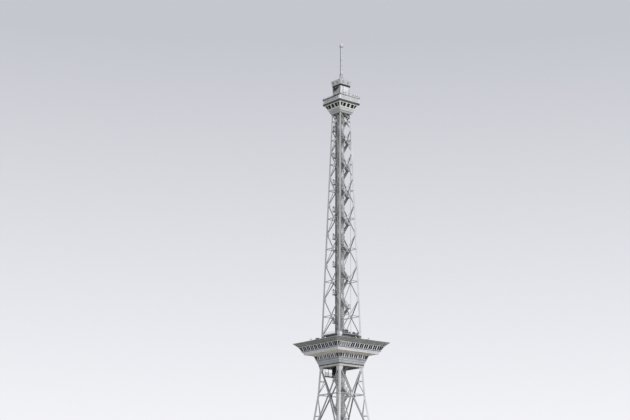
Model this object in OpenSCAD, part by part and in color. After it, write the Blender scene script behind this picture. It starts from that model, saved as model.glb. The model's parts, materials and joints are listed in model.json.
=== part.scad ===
// Square lattice radio mast with a two-storey restaurant and a lookout, as a 1:10 model.
// Millimetres. +Z is up, +X east, +Y north; the origin is the middle of the tower at ground level.

/* [Legs] */
// Side of the square through the leg corners at the ground
base_w = 2000; // [1700:10:2300]
// Height of the bend in the legs under the restaurant
bend_z = 4350; // [4200:10:4500]
// Side of the square through the leg corners at the bend
bend_w = 906; // [880:2:960]
// Height of the underside of the restaurant floor
restaurant_z = 5125; // [5000:5:5250]
// Side of the square through the leg corners at the restaurant floor
waist_w = 822; // [810:2:830]
// Height of the top of the legs, where the lookout sits
lookout_z = 12285; // [12200:5:12330]
// Side of the square through the leg corners at their top
top_w = 384; // [382:2:400]
// Flange width of the leg angles at the ground
foot_flange = 68; // [55:1:80]
// Flange width of the leg angles at the top
top_flange = 38; // [30:1:44]
// Thickness of the leg angles
leg_t = 7; // [5:0.5:8]

/* [Feet] */
// Side of a foundation block at the ground
block_w = 300; // [240:5:360]
// Side of a foundation block at its top
block_top_w = 240; // [200:5:260]
// Height of a foundation block
block_h = 90; // [60:5:140]
// Largest diameter of a foot insulator
insulator_d = 104; // [80:2:130]
// Diameter of an insulator between its sheds
insulator_neck_d = 78; // [60:2:90]
// Height of one insulator shed
shed_h = 17; // [12:1:22]
// Number of sheds on an insulator
sheds = 3; // [2:1:4]
// Side of the square steel shoe under a leg
shoe_w = 128; // [110:2:150]
// Thickness of the shoe plate
shoe_t = 14; // [8:1:20]

/* [Bracing] */
// Thickness of the face bracing, measured through the face
brace_t = 5; // [3:0.5:6]
// Width of the diagonals under the restaurant
low_diagonal_w = 30; // [20:1:40]
// Width of the horizontals under the restaurant
low_rail_w = 26; // [18:1:34]
// Width of the small bars that divide the large panels
sub_bar_w = 14; // [8:1:20]
// Height of the leg nodes between the two lower crossings
low_node_z = 3220; // [3100:10:3300]
// Height of the girder over the open portal
girder_z = 2100; // [1950:10:2250]
// Width of the portal girder
girder_w = 44; // [30:2:60]
// Width of the diagonals above the restaurant
diagonal_w = 20; // [14:1:26]
// Width of the horizontals above the restaurant
rail_w = 15; // [10:1:20]
// Height of the first leg node above the restaurant
mast_node_z = 5955; // [5900:5:6000]
// Height of the last leg node under the lookout
last_node_z = 11850; // [11750:5:11900]
// Number of crossed panels between those two nodes
panels = 7; // [6:1:8]
// Height of a panel over the height of the one below it
panel_ratio = 0.94; // [0.9:0.01:0.97]
// Depth of the plan bracing bars
plan_bar_h = 8; // [5:1:12]
// Width of the plan bracing bars
plan_bar_w = 12; // [8:1:16]

/* [Lift shaft and stair] */
// Outer side of the square lift shaft
shaft_w = 150; // [134:2:160]
// Side of the square well in the winding stair; the shaft stands in its south-west corner
well_w = 196; // [180:2:200]
// Side of a shaft corner post
shaft_post_w = 10; // [6:1:14]
// Thickness of the shaft wall panels
shaft_wall_t = 4; // [2:0.5:6]
// How far the plate under the shaft reaches out past the stair
shaft_plate_reach = 15; // [5:1:30]
// Thickness of that plate
shaft_plate_t = 44; // [30:2:60]
// Width of the shaft doorway at the ground
shaft_door_w = 96; // [80:2:104]
// Height of the shaft doorway
shaft_door_h = 210; // [200:5:230]
// Width of the stair that winds round the shaft
stair_w = 77; // [65:1:78]
// Rise of one flight, a quarter of a turn, before it is fitted to the height of the lookout floor
flight_rise = 196; // [190:1:200]
// Risers in one flight
risers = 11; // [9:1:12]
// Thickness of a landing plate
landing_t = 8; // [6:0.5:10]
// Width of the cable riser on the south side of the stair
riser_w = 72; // [50:2:80]
// Thickness of the cable riser
riser_t = 6; // [3:0.5:6]
// Distance of the riser's middle from the middle of the tower
riser_x = 12; // [5:1:40]
// Distance between the riser's rungs
rung_pitch = 98; // [80:2:140]

/* [Restaurant] */
// Height of the ring beam under the restaurant floor
ring_beam_h = 50; // [40:2:60]
// Thickness of the ring beam
ring_beam_t = 14; // [10:1:16]
// Thickness of the restaurant floor
floor_t = 30; // [20:1:40]
// Half the side of the restaurant at its floor
restaurant_foot_r = 436; // [430:1:450]
// Height of the lower storey's walls
lower_wall_h = 245; // [230:5:260]
// How far a lower wall leans out from its foot to its head
lower_lean = 94; // [80:2:110]
// Thickness of the storey walls
wall_t = 12; // [8:1:16]
// Windows in one wall of the lower storey
lower_windows = 12; // [8:1:14]
// Width of a window of the lower storey
lower_window_w = 50; // [30:1:52]
// How far the two windows of a pair stand nearer each other than evenly
lower_pair_shift = 6; // [0:1:10]
// Height of a window of the lower storey
lower_window_h = 84; // [60:2:100]
// Height of the wall left over the lower windows
lower_head_h = 12; // [8:1:20]
// Half the side of the promenade storey at its floor
promenade_r = 720; // [680:5:760]
// Rise of the underside from the lower walls to the promenade's edge
overhang_rise = 48; // [40:1:60]
// Thickness of the promenade floor at its edge
promenade_edge_t = 8; // [5:1:14]
// Height of the promenade walls
promenade_wall_h = 194; // [180:2:210]
// How far a promenade wall leans out from its foot to its head
promenade_lean = 112; // [90:2:130]
// Windows in one wall of the promenade
promenade_windows = 19; // [14:1:20]
// Width of a window of the promenade
promenade_window_w = 56; // [30:1:60]
// Height of the promenade's window sill above its floor
promenade_sill_h = 82; // [70:2:100]
// Height of a window of the promenade
promenade_window_h = 100; // [80:2:110]
// Side of the corner posts of the storeys, along each wall
corner_post_w = 26; // [16:1:36]
// How far the eave reaches out past the walls
eave_reach = 98; // [80:2:120]
// Rise of the eave's underside
eave_rise = 90; // [70:2:110]
// Thickness of the ceiling, the roof and the eave
board_t = 10; // [8:1:14]
// Thickness of the roof's edge
roof_edge_t = 9; // [6:1:14]
// Rise of the roof from its edge to its flat middle
roof_rise = 55; // [40:5:70]
// Half the side of the flat middle of the roof
roof_flat_r = 440; // [420:5:480]
// Thickness of a pane of glass
glass_t = 2; // [1:0.5:4]

/* [Service platform] */
// How far the platform hangs under the restaurant floor
service_drop = 285; // [240:5:320]
// Distance of the platform's outer edge from the middle of the tower
service_r = 336; // [300:2:350]
// How far the platform reaches to the south
service_south = 300; // [200:10:340]
// Thickness of the platform
service_t = 12; // [8:1:16]
// Side of a hanger
hanger_w = 8; // [6:1:12]
// Thickness of the screen between the platform and the stair
screen_t = 5; // [3:1:6]

/* [On the roof] */
// Half the side of the machine housing on the restaurant roof
housing_r = 292; // [270:2:310]
// Height of that housing up to its roof slab
housing_h = 150; // [120:5:180]
// How far the housing's roof slab reaches out
housing_eave = 16; // [8:1:24]
// Thickness of the housing's walls
housing_t = 10; // [6:1:14]
// Thickness of the housing's roof slab
housing_slab_t = 16; // [10:1:24]
// Distance of a roof lamp from the middle of its side
lamp_offset = 236; // [120:4:260]
// Distance of the roof lamps from the roof's edge
lamp_inset = 70; // [50:5:120]
// Height of a lamp post
lamp_post_h = 46; // [30:2:70]
// Diameter of a lamp post
lamp_post_d = 7; // [5:0.5:10]
// Diameter of a lamp's housing
lamp_d = 26; // [18:1:34]
// Length of a lamp's housing
lamp_l = 30; // [20:1:40]
// Diameter of a radio dish
dish_d = 72; // [50:2:90]
// Depth of a radio dish
dish_l = 34; // [20:2:50]
// Height of a dish's axis above the housing
dish_z = 70; // [60:2:100]
// Diameter of a dish's post
dish_post_d = 10; // [6:1:14]
// Distance between the posts of the two dishes
dish_pitch = 164; // [120:2:180]

/* [Lookout] */
// Height of the lookout's floor over the top of the legs
lookout_floor_rise = 107; // [104:1:112]
// Height of the lower part of the flared base
base_low_h = 65; // [50:5:80]
// How far the lower part of the base flares
base_low_flare = 45; // [35:1:55]
// Height of the upper part of the flared base
base_high_h = 70; // [60:5:85]
// How far the upper part of the base flares
base_high_flare = 31; // [25:1:40]
// Thickness of the lookout's walls and base
lookout_t = 10; // [6:1:12]
// Thickness of the lookout's floor
lookout_floor_t = 22; // [16:1:30]
// Height of the lookout's window wall
lookout_wall_h = 135; // [120:5:150]
// How far the window wall leans out from foot to head
lookout_lean = 77; // [60:1:90]
// Height of the window sill above the foot of the window wall
lookout_sill_h = 22; // [14:1:30]
// Height of a lookout window
lookout_window_h = 100; // [80:2:104]
// Width of a wide lookout window
lookout_window_w = 108; // [80:2:116]
// Distance between the middles of the wide windows
lookout_pitch = 144; // [124:2:150]
// Width of the bars beside the slanted windows next to the corners
lookout_bar_w = 10; // [6:1:14]
// Side of the lookout's corner posts, along each wall
lookout_post_w = 16; // [10:1:22]
// How far the open deck reaches out past the window wall
deck_reach = 28; // [20:1:40]
// Thickness of the deck at its edge
deck_edge_t = 38; // [28:1:50]
// Rise of the deck's underside at its rim
deck_rim_rise = 12; // [8:1:20]
// Height of the deck's parapet
parapet_h = 136; // [110:2:150]
// Thickness of the parapet
parapet_t = 9; // [6:1:12]

/* [Cabin and antenna] */
// Half the side of the cabin on the deck
cabin_r = 175; // [160:1:190]
// Height of the cabin's walls
cabin_h = 490; // [440:10:520]
// Thickness of the cabin's walls
cabin_t = 8; // [5:1:12]
// Width of the cabin's doorway
cabin_door_w = 90; // [80:2:100]
// Height of the cabin's doorway
cabin_door_h = 205; // [195:5:220]
// Width of the square opening high in the cabin's front
cabin_window_w = 100; // [70:5:120]
// Height of that opening
cabin_window_h = 118; // [80:2:130]
// Height of the set-back louvre band over the walls
louvre_h = 40; // [25:5:50]
// How far the louvre band is set back
louvre_inset = 5; // [2:1:10]
// Thickness of the cabin's roof slab
cabin_slab_t = 16; // [10:1:20]
// How far the cabin's roof slab reaches out past its walls
cabin_eave = 11; // [8:1:20]
// Height of the flared parapet on the cabin
crown_h = 140; // [110:5:160]
// How far that parapet flares
crown_flare = 23; // [15:1:30]
// Half the side of the antenna's pyramid at its foot
pyramid_r = 84; // [60:2:110]
// Half the side of the pyramid at its head
pyramid_head_r = 29; // [22:1:34]
// Height of the pyramid
pyramid_h = 360; // [300:5:400]
// Diameter of a pyramid leg
pyramid_leg_d = 13; // [10:1:16]
// Thickness of the pyramid's plates
pyramid_plate_t = 8; // [6:1:12]
// Diameter of the antenna mast
mast_d = 54; // [40:1:64]
// Length of the antenna mast
mast_l = 839; // [700:1:950]
// Diameter of the crown platform on the antenna mast
platform_d = 112; // [96:2:130]
// Thickness of that platform
platform_t = 10; // [6:1:16]
// Diameter of the drum on the platform
drum_d = 84; // [60:2:92]
// Height of the drum
drum_h = 84; // [50:2:100]
// Diameter of the antenna rod
rod_d = 12; // [8:1:16]
// Length of the antenna rod
rod_l = 310; // [250:5:360]

/* [Fits] */
// Gap between neighbours that don't touch
gap = 0.3; // [0.2:0.05:0.5]
// Gap between the winding stair and the floors round it
stair_gap = 3; // [2:0.5:5]

/* [Hidden] */
$fn = 48;
overrun = 20;
corner_names = ["south_west", "south_east", "north_east", "north_west"];
side_names = ["south", "east", "north", "west"];
quarter = 90;

// Levels
insulator_h = shed_h * sheds;
shoe_z = block_h + insulator_h;
leg_foot_z = shoe_z + shoe_t;
ring_beam_z = restaurant_z - ring_beam_h;
floor_top_z = restaurant_z + floor_t;
lower_head_z = floor_top_z + lower_wall_h;
promenade_z = lower_head_z + overhang_rise + promenade_edge_t;
promenade_head_z = promenade_z + promenade_wall_h;
roof_edge_z = promenade_head_z + eave_rise;
roof_top_z = roof_edge_z + roof_edge_t + roof_rise;
housing_top_z = roof_top_z + housing_h;
lookout_foot_z = lookout_z + base_low_h + base_high_h;
lookout_floor_z = lookout_z + lookout_floor_rise;
flights = round((lookout_floor_z - shaft_plate_t) / flight_rise);
fitted_rise = (lookout_floor_z - shaft_plate_t) / flights;
lookout_head_z = lookout_foot_z + lookout_wall_h;
deck_z = lookout_head_z + deck_rim_rise + deck_edge_t;
louvre_z = deck_z + cabin_h;
cabin_slab_z = louvre_z + louvre_h;
cabin_top_z = cabin_slab_z + cabin_slab_t;
pyramid_top_z = cabin_top_z + pyramid_h;
platform_z = pyramid_top_z + mast_l;

// Half widths of the square storeys
shaft_r = shaft_w / 2;
well_r = well_w / 2;
stair_r = well_r + stair_w;
core_r = stair_r + stair_gap;
lower_head_r = restaurant_foot_r + lower_lean;
promenade_head_r = promenade_r + promenade_lean;
eave_r = promenade_head_r + eave_reach;
lookout_low_r = top_w / 2 + base_low_flare;
lookout_foot_r = lookout_low_r + base_high_flare;
lookout_head_r = lookout_foot_r + lookout_lean;
deck_r = lookout_head_r + deck_reach;
cabin_slab_r = cabin_r + cabin_eave;

// Half the side of the square through the leg corners, at a height
function leg_r(z) = lookup(z, [
    [0, base_w / 2], [bend_z, bend_w / 2], [restaurant_z, waist_w / 2], [lookout_z, top_w / 2]]);

// Flange width of the leg angles, at a height
function flange(z) = lookup(z, [[0, foot_flange], [lookout_z, top_flange]]);

// Half width of a leaning wall at a height between its foot and its head
function wall_r(z, z0, r0, z1, r1) = r0 + (r1 - r0) * (z - z0) / (z1 - z0);

function reversed(list) = [for (i = [len(list) - 1:-1:0]) list[i]];

// Faces of a solid that joins m rings of n points each
function loft_faces(n, m) = concat(
    [[for (j = [0:n - 1]) j]],
    [for (i = [0:m - 2]) for (j = [0:n - 1])
        [i * n + j, (i + 1) * n + j, (i + 1) * n + (j + 1) % n, i * n + (j + 1) % n]],
    [[for (j = [n - 1:-1:0]) (m - 1) * n + j]]);

// South side of a square ring with mitred ends; profile is a list of [half width, height]
module mitred_side(profile, cut) {
    p = reversed(profile);
    n = len(p);
    polyhedron(
        points = [for (s = [-1, 1]) for (q = p) [s * (q[0] - cut), -q[0], q[1]]],
        faces = loft_faces(n, 2));
}

// South-west corner of the same ring, which fills the place between two mitred sides
module mitred_corner(profile, cut) {
    n = len(profile);
    polyhedron(
        points = concat(
            [for (q = profile) [-(q[0] - cut), -q[0], q[1]]],
            [for (q = profile) [-q[0], -q[0], q[1]]],
            [for (q = profile) [-q[0], -(q[0] - cut), q[1]]]),
        faces = loft_faces(n, 3));
}

module four_times() {
    for (i = [0:3]) rotate(i * quarter) children();
}

// Profile of a flat slab between two half widths
function slab_profile(r0, r1, z, t) = [[r0, z], [r1, z], [r1, z + t], [r0, z + t]];

// Profile of a wall that leans outwards
function wall_profile(z0, r0, z1, r1, t) = [[r0 - t, z0], [r0, z0], [r1, z1], [r1 - t, z1]];

// Solid square block that widens from r0 to r1
module square_block(z0, r0, z1, r1) {
    polyhedron(
        points = [for (k = [[z0, r0], [z1, r1]]) for (s = [[-1, -1], [1, -1], [1, 1], [-1, 1]])
            [s[0] * k[1], s[1] * k[1], k[0]]],
        faces = loft_faces(4, 2));
}

module square_plate(z, r, t) {
    translate([-r, -r, z]) cube([2 * r, 2 * r, t]);
}

// Feet
module at_feet() {
    r = leg_r(leg_foot_z) - flange(leg_foot_z) / 2;
    four_times() translate([-r, -r, 0]) children();
}

module foundation_blocks() {
    color("darkgray") at_feet() square_block(0, block_w / 2, block_h, block_top_w / 2);
}

module foot_insulators() {
    shed_lip = shed_h / 3;
    color("saddlebrown") at_feet() translate([0, 0, block_h]) union() {
        cylinder(h = insulator_h, d = insulator_neck_d);
        for (i = [0:sheds - 1]) translate([0, 0, i * shed_h + shed_lip]) {
            cylinder(h = shed_lip, d = insulator_d);
            translate([0, 0, shed_lip]) cylinder(h = shed_lip / 2, d1 = insulator_d, d2 = insulator_neck_d);
        }
    }
}

// Legs
function leg_ring(z) = let (r = leg_r(z), f = flange(z))
    [[-r, -r, z], [-r + f, -r, z], [-r + f, -r + leg_t, z],
     [-r + leg_t, -r + leg_t, z], [-r + leg_t, -r + f, z], [-r, -r + f, z]];

module leg_angle() {
    levels = [leg_foot_z, bend_z, restaurant_z, lookout_z];
    polyhedron(
        points = [for (z = levels) each leg_ring(z)],
        faces = loft_faces(6, len(levels)));
}

module leg(corner) {
    r = leg_r(leg_foot_z) - flange(leg_foot_z) / 2;
    color("gray") rotate(corner * quarter) union() {
        leg_angle();
        translate([-r - shoe_w / 2, -r - shoe_w / 2, shoe_z]) cube([shoe_w, shoe_w, shoe_t]);
    }
}

module all_legs() {
    four_times() leg_angle();
}

// Face bracing, drawn flat as [across, up the slope] and laid into the leaning face
function lean(z0, z1) = atan((leg_r(z0) - leg_r(z1)) / (z1 - z0));
function brace_r(z) = leg_r(z) - leg_t;
function node_x(z) = leg_r(z) - flange(z) / 2;
function slope_length(z, z0, z1) = (z - z0) / cos(lean(z0, z1));

module bar(p, q, w) {
    d = q - p;
    side = [-d[1], d[0]] * w / (2 * norm(d));
    polygon([p - side, q - side, q + side, p + side]);
}

module in_face(z0, z1) {
    clip = leg_t + brace_t + gap;
    top = slope_length(z1, z0, z1);
    translate([0, -brace_r(z0), z0]) rotate([quarter - lean(z0, z1), 0, 0])
    translate([0, 0, -brace_t]) linear_extrude(brace_t) intersection() {
        polygon([
            [-leg_r(z0) + clip, 0], [leg_r(z0) - clip, 0],
            [leg_r(z1) - clip, top], [-leg_r(z1) + clip, top]]);
        union() children();
    }
}

// A pair of diagonals between the middle of the face at one height and the legs at another
module rafters(mid_z, leg_z, z0, z1, w) {
    for (s = [-1, 1])
        bar([0, slope_length(mid_z, z0, z1)], [s * node_x(leg_z), slope_length(leg_z, z0, z1)], w);
}

module rail(z, z0, z1, w) {
    v = slope_length(z, z0, z1);
    bar([-leg_r(z), v], [leg_r(z), v], w);
}

// Small bars between a leg and the diagonal beside it, at half height
module sub_bars(mid_z, leg_z, z0, z1) {
    z = (mid_z + leg_z) / 2;
    v = slope_length(z, z0, z1);
    for (s = [-1, 1]) {
        bar([s * node_x(leg_z) / 2, v], [s * leg_r(z), v], sub_bar_w);
        bar([s * node_x(leg_z) / 2, v], [s * leg_r(mid_z), slope_length(mid_z, z0, z1)], sub_bar_w);
    }
}

module lower_bracing(side) {
    low_z = girder_z - girder_w / 2;
    color("gray") rotate(side * quarter) union() {
        in_face(low_z, bend_z) {
            rail(girder_z, low_z, bend_z, girder_w);
            rafters(girder_z, low_node_z, low_z, bend_z, low_diagonal_w);
            sub_bars(girder_z, low_node_z, low_z, bend_z);
            rail(low_node_z, low_z, bend_z, sub_bar_w);
            rafters(bend_z, low_node_z, low_z, bend_z, low_diagonal_w);
            sub_bars(bend_z, low_node_z, low_z, bend_z);
        }
        in_face(bend_z - brace_t, ring_beam_z) {
            rail(bend_z, bend_z - brace_t, ring_beam_z, low_rail_w);
            rafters(bend_z, ring_beam_z, bend_z - brace_t, ring_beam_z, low_diagonal_w);
            sub_bars(bend_z, ring_beam_z, bend_z - brace_t, ring_beam_z);
        }
    }
}

// One raking brace from the girder to a foot, with the small bars that tie it to the leg
module portal_half(z0, z1) {
    foot = [node_x(z0), 0];
    head = [girder_w, slope_length(z1, z0, z1)];
    tie_shares = [1 / 3, 2 / 3];
    bar(foot, head, low_diagonal_w);
    for (k = tie_shares) {
        p = foot + (head - foot) * k;
        z = z0 + (z1 - z0) * k;
        bar(p, [leg_r(z), p[1]], sub_bar_w);
        z_up = z + (z1 - z0) / 3;
        bar(p, [leg_r(z_up), slope_length(z_up, z0, z1)], sub_bar_w);
    }
}

module portal_braces() {
    z0 = leg_foot_z + gap;
    z1 = girder_z - girder_w / 2 - gap;
    color("gray") four_times() for (s = [0, 1]) mirror([s, 0, 0]) in_face(z0, z1) portal_half(z0, z1);
}

// Heights of the leg nodes above the restaurant; each panel is lower than the one below it
function series(n) = (1 - pow(panel_ratio, n)) / (1 - panel_ratio);
mast_nodes = concat(
    [for (i = [0:panels])
        mast_node_z + (last_node_z - mast_node_z) * series(i) / series(panels)],
    [lookout_z]);

// Height at which the diagonals of a panel cross
function crossing(z0, z1) = z0 + (z1 - z0) * node_x(z0) / (node_x(z0) + node_x(z1));

module mast_bracing(side) {
    z0 = restaurant_z;
    z1 = lookout_z;
    color("gray") rotate(side * quarter) in_face(z0, z1) {
        for (i = [0:len(mast_nodes) - 2]) {
            mid = crossing(mast_nodes[i], mast_nodes[i + 1]);
            rafters(mid, mast_nodes[i], z0, z1, diagonal_w);
            rafters(mid, mast_nodes[i + 1], z0, z1, diagonal_w);
            rail(mid, z0, z1, rail_w);
        }
    }
}

// Plan bracing: a square on edge under the restaurant, corner ties above it
module plan_tie(z, reach) {
    r = brace_r(z) - brace_t / cos(lean(z - overrun, z + overrun)) - gap;
    translate([0, 0, z - plan_bar_h / 2]) linear_extrude(plan_bar_h) intersection() {
        square(2 * r, center = true);
        bar([-r - overrun, -r + reach + overrun], [-r + reach + overrun, -r - overrun], plan_bar_w);
    }
}

module plan_bracing() {
    color("dimgray") four_times() {
        for (z = [girder_z, bend_z + plan_bar_h / 2 + gap]) plan_tie(z, brace_r(z) - 2 * low_rail_w);
        for (i = [0:panels - 1]) {
            z = crossing(mast_nodes[i], mast_nodes[i + 1]);
            plan_tie(z, min(2 * brace_r(z) - 2 * stair_r - 2 * plan_bar_w, brace_r(z) - 2 * low_rail_w));
        }
    }
}

// Lift shaft
module in_well_corner() {
    translate([shaft_r - well_r, shaft_r - well_r, 0]) children();
}

module shaft_base_plate() {
    color("slategray") square_plate(0, stair_r + shaft_plate_reach, shaft_plate_t);
}

module shaft_posts() {
    color("dimgray") in_well_corner() four_times() translate([-shaft_r, -shaft_r, shaft_plate_t])
        cube([shaft_post_w, shaft_post_w, lookout_head_z - shaft_plate_t]);
}

// One wall panel of the shaft; the south panel starts over the doorway
module shaft_panel(z0) {
    r = shaft_r - shaft_post_w;
    translate([-r, -shaft_r, z0]) cube([2 * r, shaft_wall_t, lookout_head_z - z0]);
}

module shaft_walls() {
    color("silver") in_well_corner() for (i = [0:3])
        rotate(i * quarter) shaft_panel(i == 0 ? shaft_plate_t + shaft_door_h : shaft_plate_t);
}

module shaft_door_jambs() {
    jamb_w = shaft_r - shaft_post_w - shaft_door_w / 2;
    color("silver") in_well_corner() for (s = [0, 1]) mirror([s, 0, 0])
        translate([-shaft_r + shaft_post_w, -shaft_r, shaft_plate_t])
            cube([jamb_w, shaft_wall_t, shaft_door_h]);
}

// Stair: it climbs clockwise round the shaft, from the south-west corner at the ground
module stair_corner(k) {
    rotate(-k * quarter) children();
}

module flight() {
    going = well_w / risers;
    riser = fitted_rise / risers;
    color("darkgray") translate([-well_r, -well_r, 0]) rotate([quarter, 0, quarter]) mirror([0, 0, 1])
        linear_extrude(stair_w) polygon(concat(
            [for (i = [0:risers - 1]) each [[i * going, i * riser], [i * going, (i + 1) * riser]]],
            [[well_w, fitted_rise], [well_w, fitted_rise - riser - landing_t], [going, -landing_t],
             [0, -landing_t]]));
}

module stair_flights() {
    difference() {
        for (k = [0:flights - 1])
            translate([0, 0, shaft_plate_t + k * fitted_rise]) stair_corner(k) flight();
        square_plate(0, stair_r + overrun, shaft_plate_t);
    }
}

module stair_landings() {
    color("gray") for (k = [1:flights])
        translate([0, 0, shaft_plate_t + k * fitted_rise - landing_t]) stair_corner(k)
        translate([-stair_r, -stair_r, 0]) cube([stair_w, stair_w, landing_t]);
}

// Cable ladder that stands on the housing's roof slab and runs up along the stair to the lookout floor
module cable_riser() {
    rail_d = riser_w / 6;
    z0 = housing_top_z + housing_slab_t;
    h = lookout_floor_z - lookout_floor_t - z0;
    color("dimgray") translate([-riser_x - riser_w / 2, -stair_r - gap - riser_t, z0]) union() {
        for (x = [0, riser_w - rail_d]) translate([x, 0, 0]) cube([rail_d, riser_t, h]);
        for (i = [1:floor(h / rung_pitch)]) translate([0, 0, i * rung_pitch - rail_d])
            cube([riser_w, riser_t, rail_d]);
    }
}

// Platform to the west of the stair, hung from the restaurant floor
module service_platform() {
    z = restaurant_z - service_drop;
    color("dimgray") translate([-service_r, 0, z]) union() {
        translate([0, -service_south, 0]) cube([service_r - core_r, service_south + stair_r, service_t]);
        for (x = [0, service_r - core_r - hanger_w], y = [-service_south, stair_r - hanger_w])
            translate([x, y, 0]) cube([hanger_w, hanger_w, service_drop]);
        translate([service_r - core_r - screen_t, -stair_r, 0]) cube([screen_t, 2 * stair_r, service_drop]);
    }
}

// Restaurant
module restaurant_ring_beam() {
    r = leg_r(ring_beam_z) + ring_beam_t + gap;
    color("gainsboro") four_times()
        mitred_side(slab_profile(r - ring_beam_t, r, ring_beam_z, ring_beam_h), gap);
}

module restaurant_floor() {
    color("dimgray") difference() {
        four_times() mitred_side(slab_profile(core_r, restaurant_foot_r, restaurant_z, floor_t), gap);
        all_legs();
    }
}

lower_wall = wall_profile(floor_top_z, restaurant_foot_r, lower_head_z, lower_head_r, wall_t);

// A row of window openings in a south wall; shift draws the two of each pair together
module window_row(count, span, w, z, h, r, shift) {
    for (i = [0:count - 1]) {
        x = (i + 0.5 - count / 2) * span / count + (i % 2 == 0 ? shift : -shift);
        translate([x - w / 2, -r - overrun, z]) cube([w, r, h]);
    }
}

module restaurant_walls() {
    z = lower_head_z - lower_head_h - lower_window_h;
    span = 2 * (wall_r(z, floor_top_z, restaurant_foot_r, lower_head_z, lower_head_r) - corner_post_w);
    color("darkgray") four_times() difference() {
        mitred_side(lower_wall, corner_post_w);
        window_row(lower_windows, span, lower_window_w, z, lower_window_h, lower_head_r, lower_pair_shift);
    }
}

module restaurant_posts() {
    color("gainsboro") four_times() mitred_corner(lower_wall, corner_post_w);
}

// Sheet of glass behind the windows of a leaning wall
module glass_sheet(z0, r0, z1, r1, t, za, zb, cut) {
    ra = wall_r(za, z0, r0, z1, r1) - t;
    rb = wall_r(zb, z0, r0, z1, r1) - t;
    mitred_side(wall_profile(za, ra, zb, rb, glass_t), cut);
}

module restaurant_glass() {
    color("darkslategray", 0.6) four_times() glass_sheet(
        floor_top_z, restaurant_foot_r, lower_head_z, lower_head_r, wall_t,
        lower_head_z - 2 * lower_head_h - lower_window_h, lower_head_z - gap, corner_post_w);
}

module promenade_floor() {
    edge_z = promenade_z - promenade_edge_t;
    color("tan") difference() {
        four_times() mitred_side([
            [core_r, lower_head_z], [lower_head_r, lower_head_z], [promenade_r, edge_z],
            [promenade_r, promenade_z], [core_r, promenade_z]], gap);
        all_legs();
    }
}

promenade_wall = wall_profile(promenade_z, promenade_r, promenade_head_z, promenade_head_r, wall_t);

module promenade_walls() {
    z = promenade_z + promenade_sill_h;
    span = 2 * (wall_r(z, promenade_z, promenade_r, promenade_head_z, promenade_head_r) - corner_post_w);
    color("gainsboro") four_times() difference() {
        mitred_side(promenade_wall, corner_post_w);
        window_row(promenade_windows, span, promenade_window_w, z, promenade_window_h, promenade_head_r, 0);
    }
}

module promenade_posts() {
    color("gainsboro") four_times() mitred_corner(promenade_wall, corner_post_w);
}

module promenade_glass() {
    sill = promenade_z + promenade_sill_h;
    color("darkslategray", 0.6) four_times() glass_sheet(
        promenade_z, promenade_r, promenade_head_z, promenade_head_r, wall_t,
        sill - lower_head_h, promenade_head_z - gap, corner_post_w);
}

module promenade_ceiling() {
    r = promenade_head_r - wall_t;
    flare = board_t * eave_reach / eave_rise;
    color("linen") difference() {
        four_times() mitred_side([
            [core_r, promenade_head_z], [r, promenade_head_z],
            [r + flare, promenade_head_z + board_t], [core_r, promenade_head_z + board_t]], gap);
        all_legs();
    }
}

module eave_soffit() {
    color("dimgray") four_times() mitred_side(
        wall_profile(promenade_head_z, promenade_head_r, roof_edge_z, eave_r, wall_t), gap);
}

module restaurant_roof() {
    inner_r = eave_r - wall_t;
    color("slategray") four_times() mitred_side([
        [roof_flat_r, roof_top_z - board_t], [inner_r, roof_edge_z], [eave_r, roof_edge_z],
        [eave_r, roof_edge_z + roof_edge_t], [roof_flat_r, roof_top_z]], gap);
}

module roof_middle() {
    color("slategray") difference() {
        four_times() mitred_side(slab_profile(core_r, roof_flat_r, roof_top_z - board_t, board_t), gap);
        all_legs();
    }
}

// On the restaurant roof
module roof_housing() {
    color("gray") four_times() mitred_side(
        slab_profile(housing_r - housing_t, housing_r, roof_top_z, housing_h), gap);
}

module roof_housing_slab() {
    color("dimgray") four_times() mitred_side(
        slab_profile(core_r, housing_r + housing_eave, housing_top_z, housing_slab_t), gap);
}

function roof_z(r) = roof_edge_z + roof_edge_t + roof_rise * (eave_r - r) / (eave_r - roof_flat_r);

// The post stands on the sloping roof and carries the lamp on its head
module roof_lamp() {
    r = eave_r - lamp_inset;
    translate([0, -r, roof_z(r - lamp_post_d / 2) + gap]) union() {
        cylinder(h = lamp_post_h, d = lamp_post_d);
        translate([0, lamp_l / 2, lamp_post_h]) rotate([quarter, 0, 0]) cylinder(h = lamp_l, d = lamp_d);
    }
}

module roof_lamps() {
    color("dimgray") four_times() for (s = [-1, 1]) translate([s * lamp_offset, 0, 0]) roof_lamp();
}

module radio_dish() {
    cylinder(h = dish_z, d = dish_post_d);
    translate([0, dish_l / 2, dish_z]) rotate([quarter, 0, 0]) cylinder(h = dish_l, d = dish_d);
}

module radio_dishes() {
    x = (core_r + housing_r) / 2;
    color("silver") for (y = [-dish_pitch, 0])
        translate([x, y, housing_top_z + housing_slab_t]) rotate(quarter / 2) radio_dish();
}

// Lookout
module lookout_base() {
    r = top_w / 2;
    z = lookout_z + base_low_h;
    color("lightsteelblue") four_times() mitred_side([
        [lookout_low_r - lookout_t, z], [r - lookout_t, lookout_z], [r, lookout_z],
        [lookout_low_r, z], [lookout_foot_r, lookout_foot_z], [lookout_foot_r - lookout_t, lookout_foot_z]],
        gap);
}

module lookout_floor() {
    z = lookout_floor_z - lookout_floor_t;
    r = wall_r(z, lookout_z + base_low_h, lookout_low_r, lookout_foot_z, lookout_foot_r) - lookout_t;
    color("dimgray") four_times() mitred_side(slab_profile(core_r, r, z, lookout_floor_t), gap);
}

lookout_wall = wall_profile(lookout_foot_z, lookout_foot_r, lookout_head_z, lookout_head_r, lookout_t);

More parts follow.
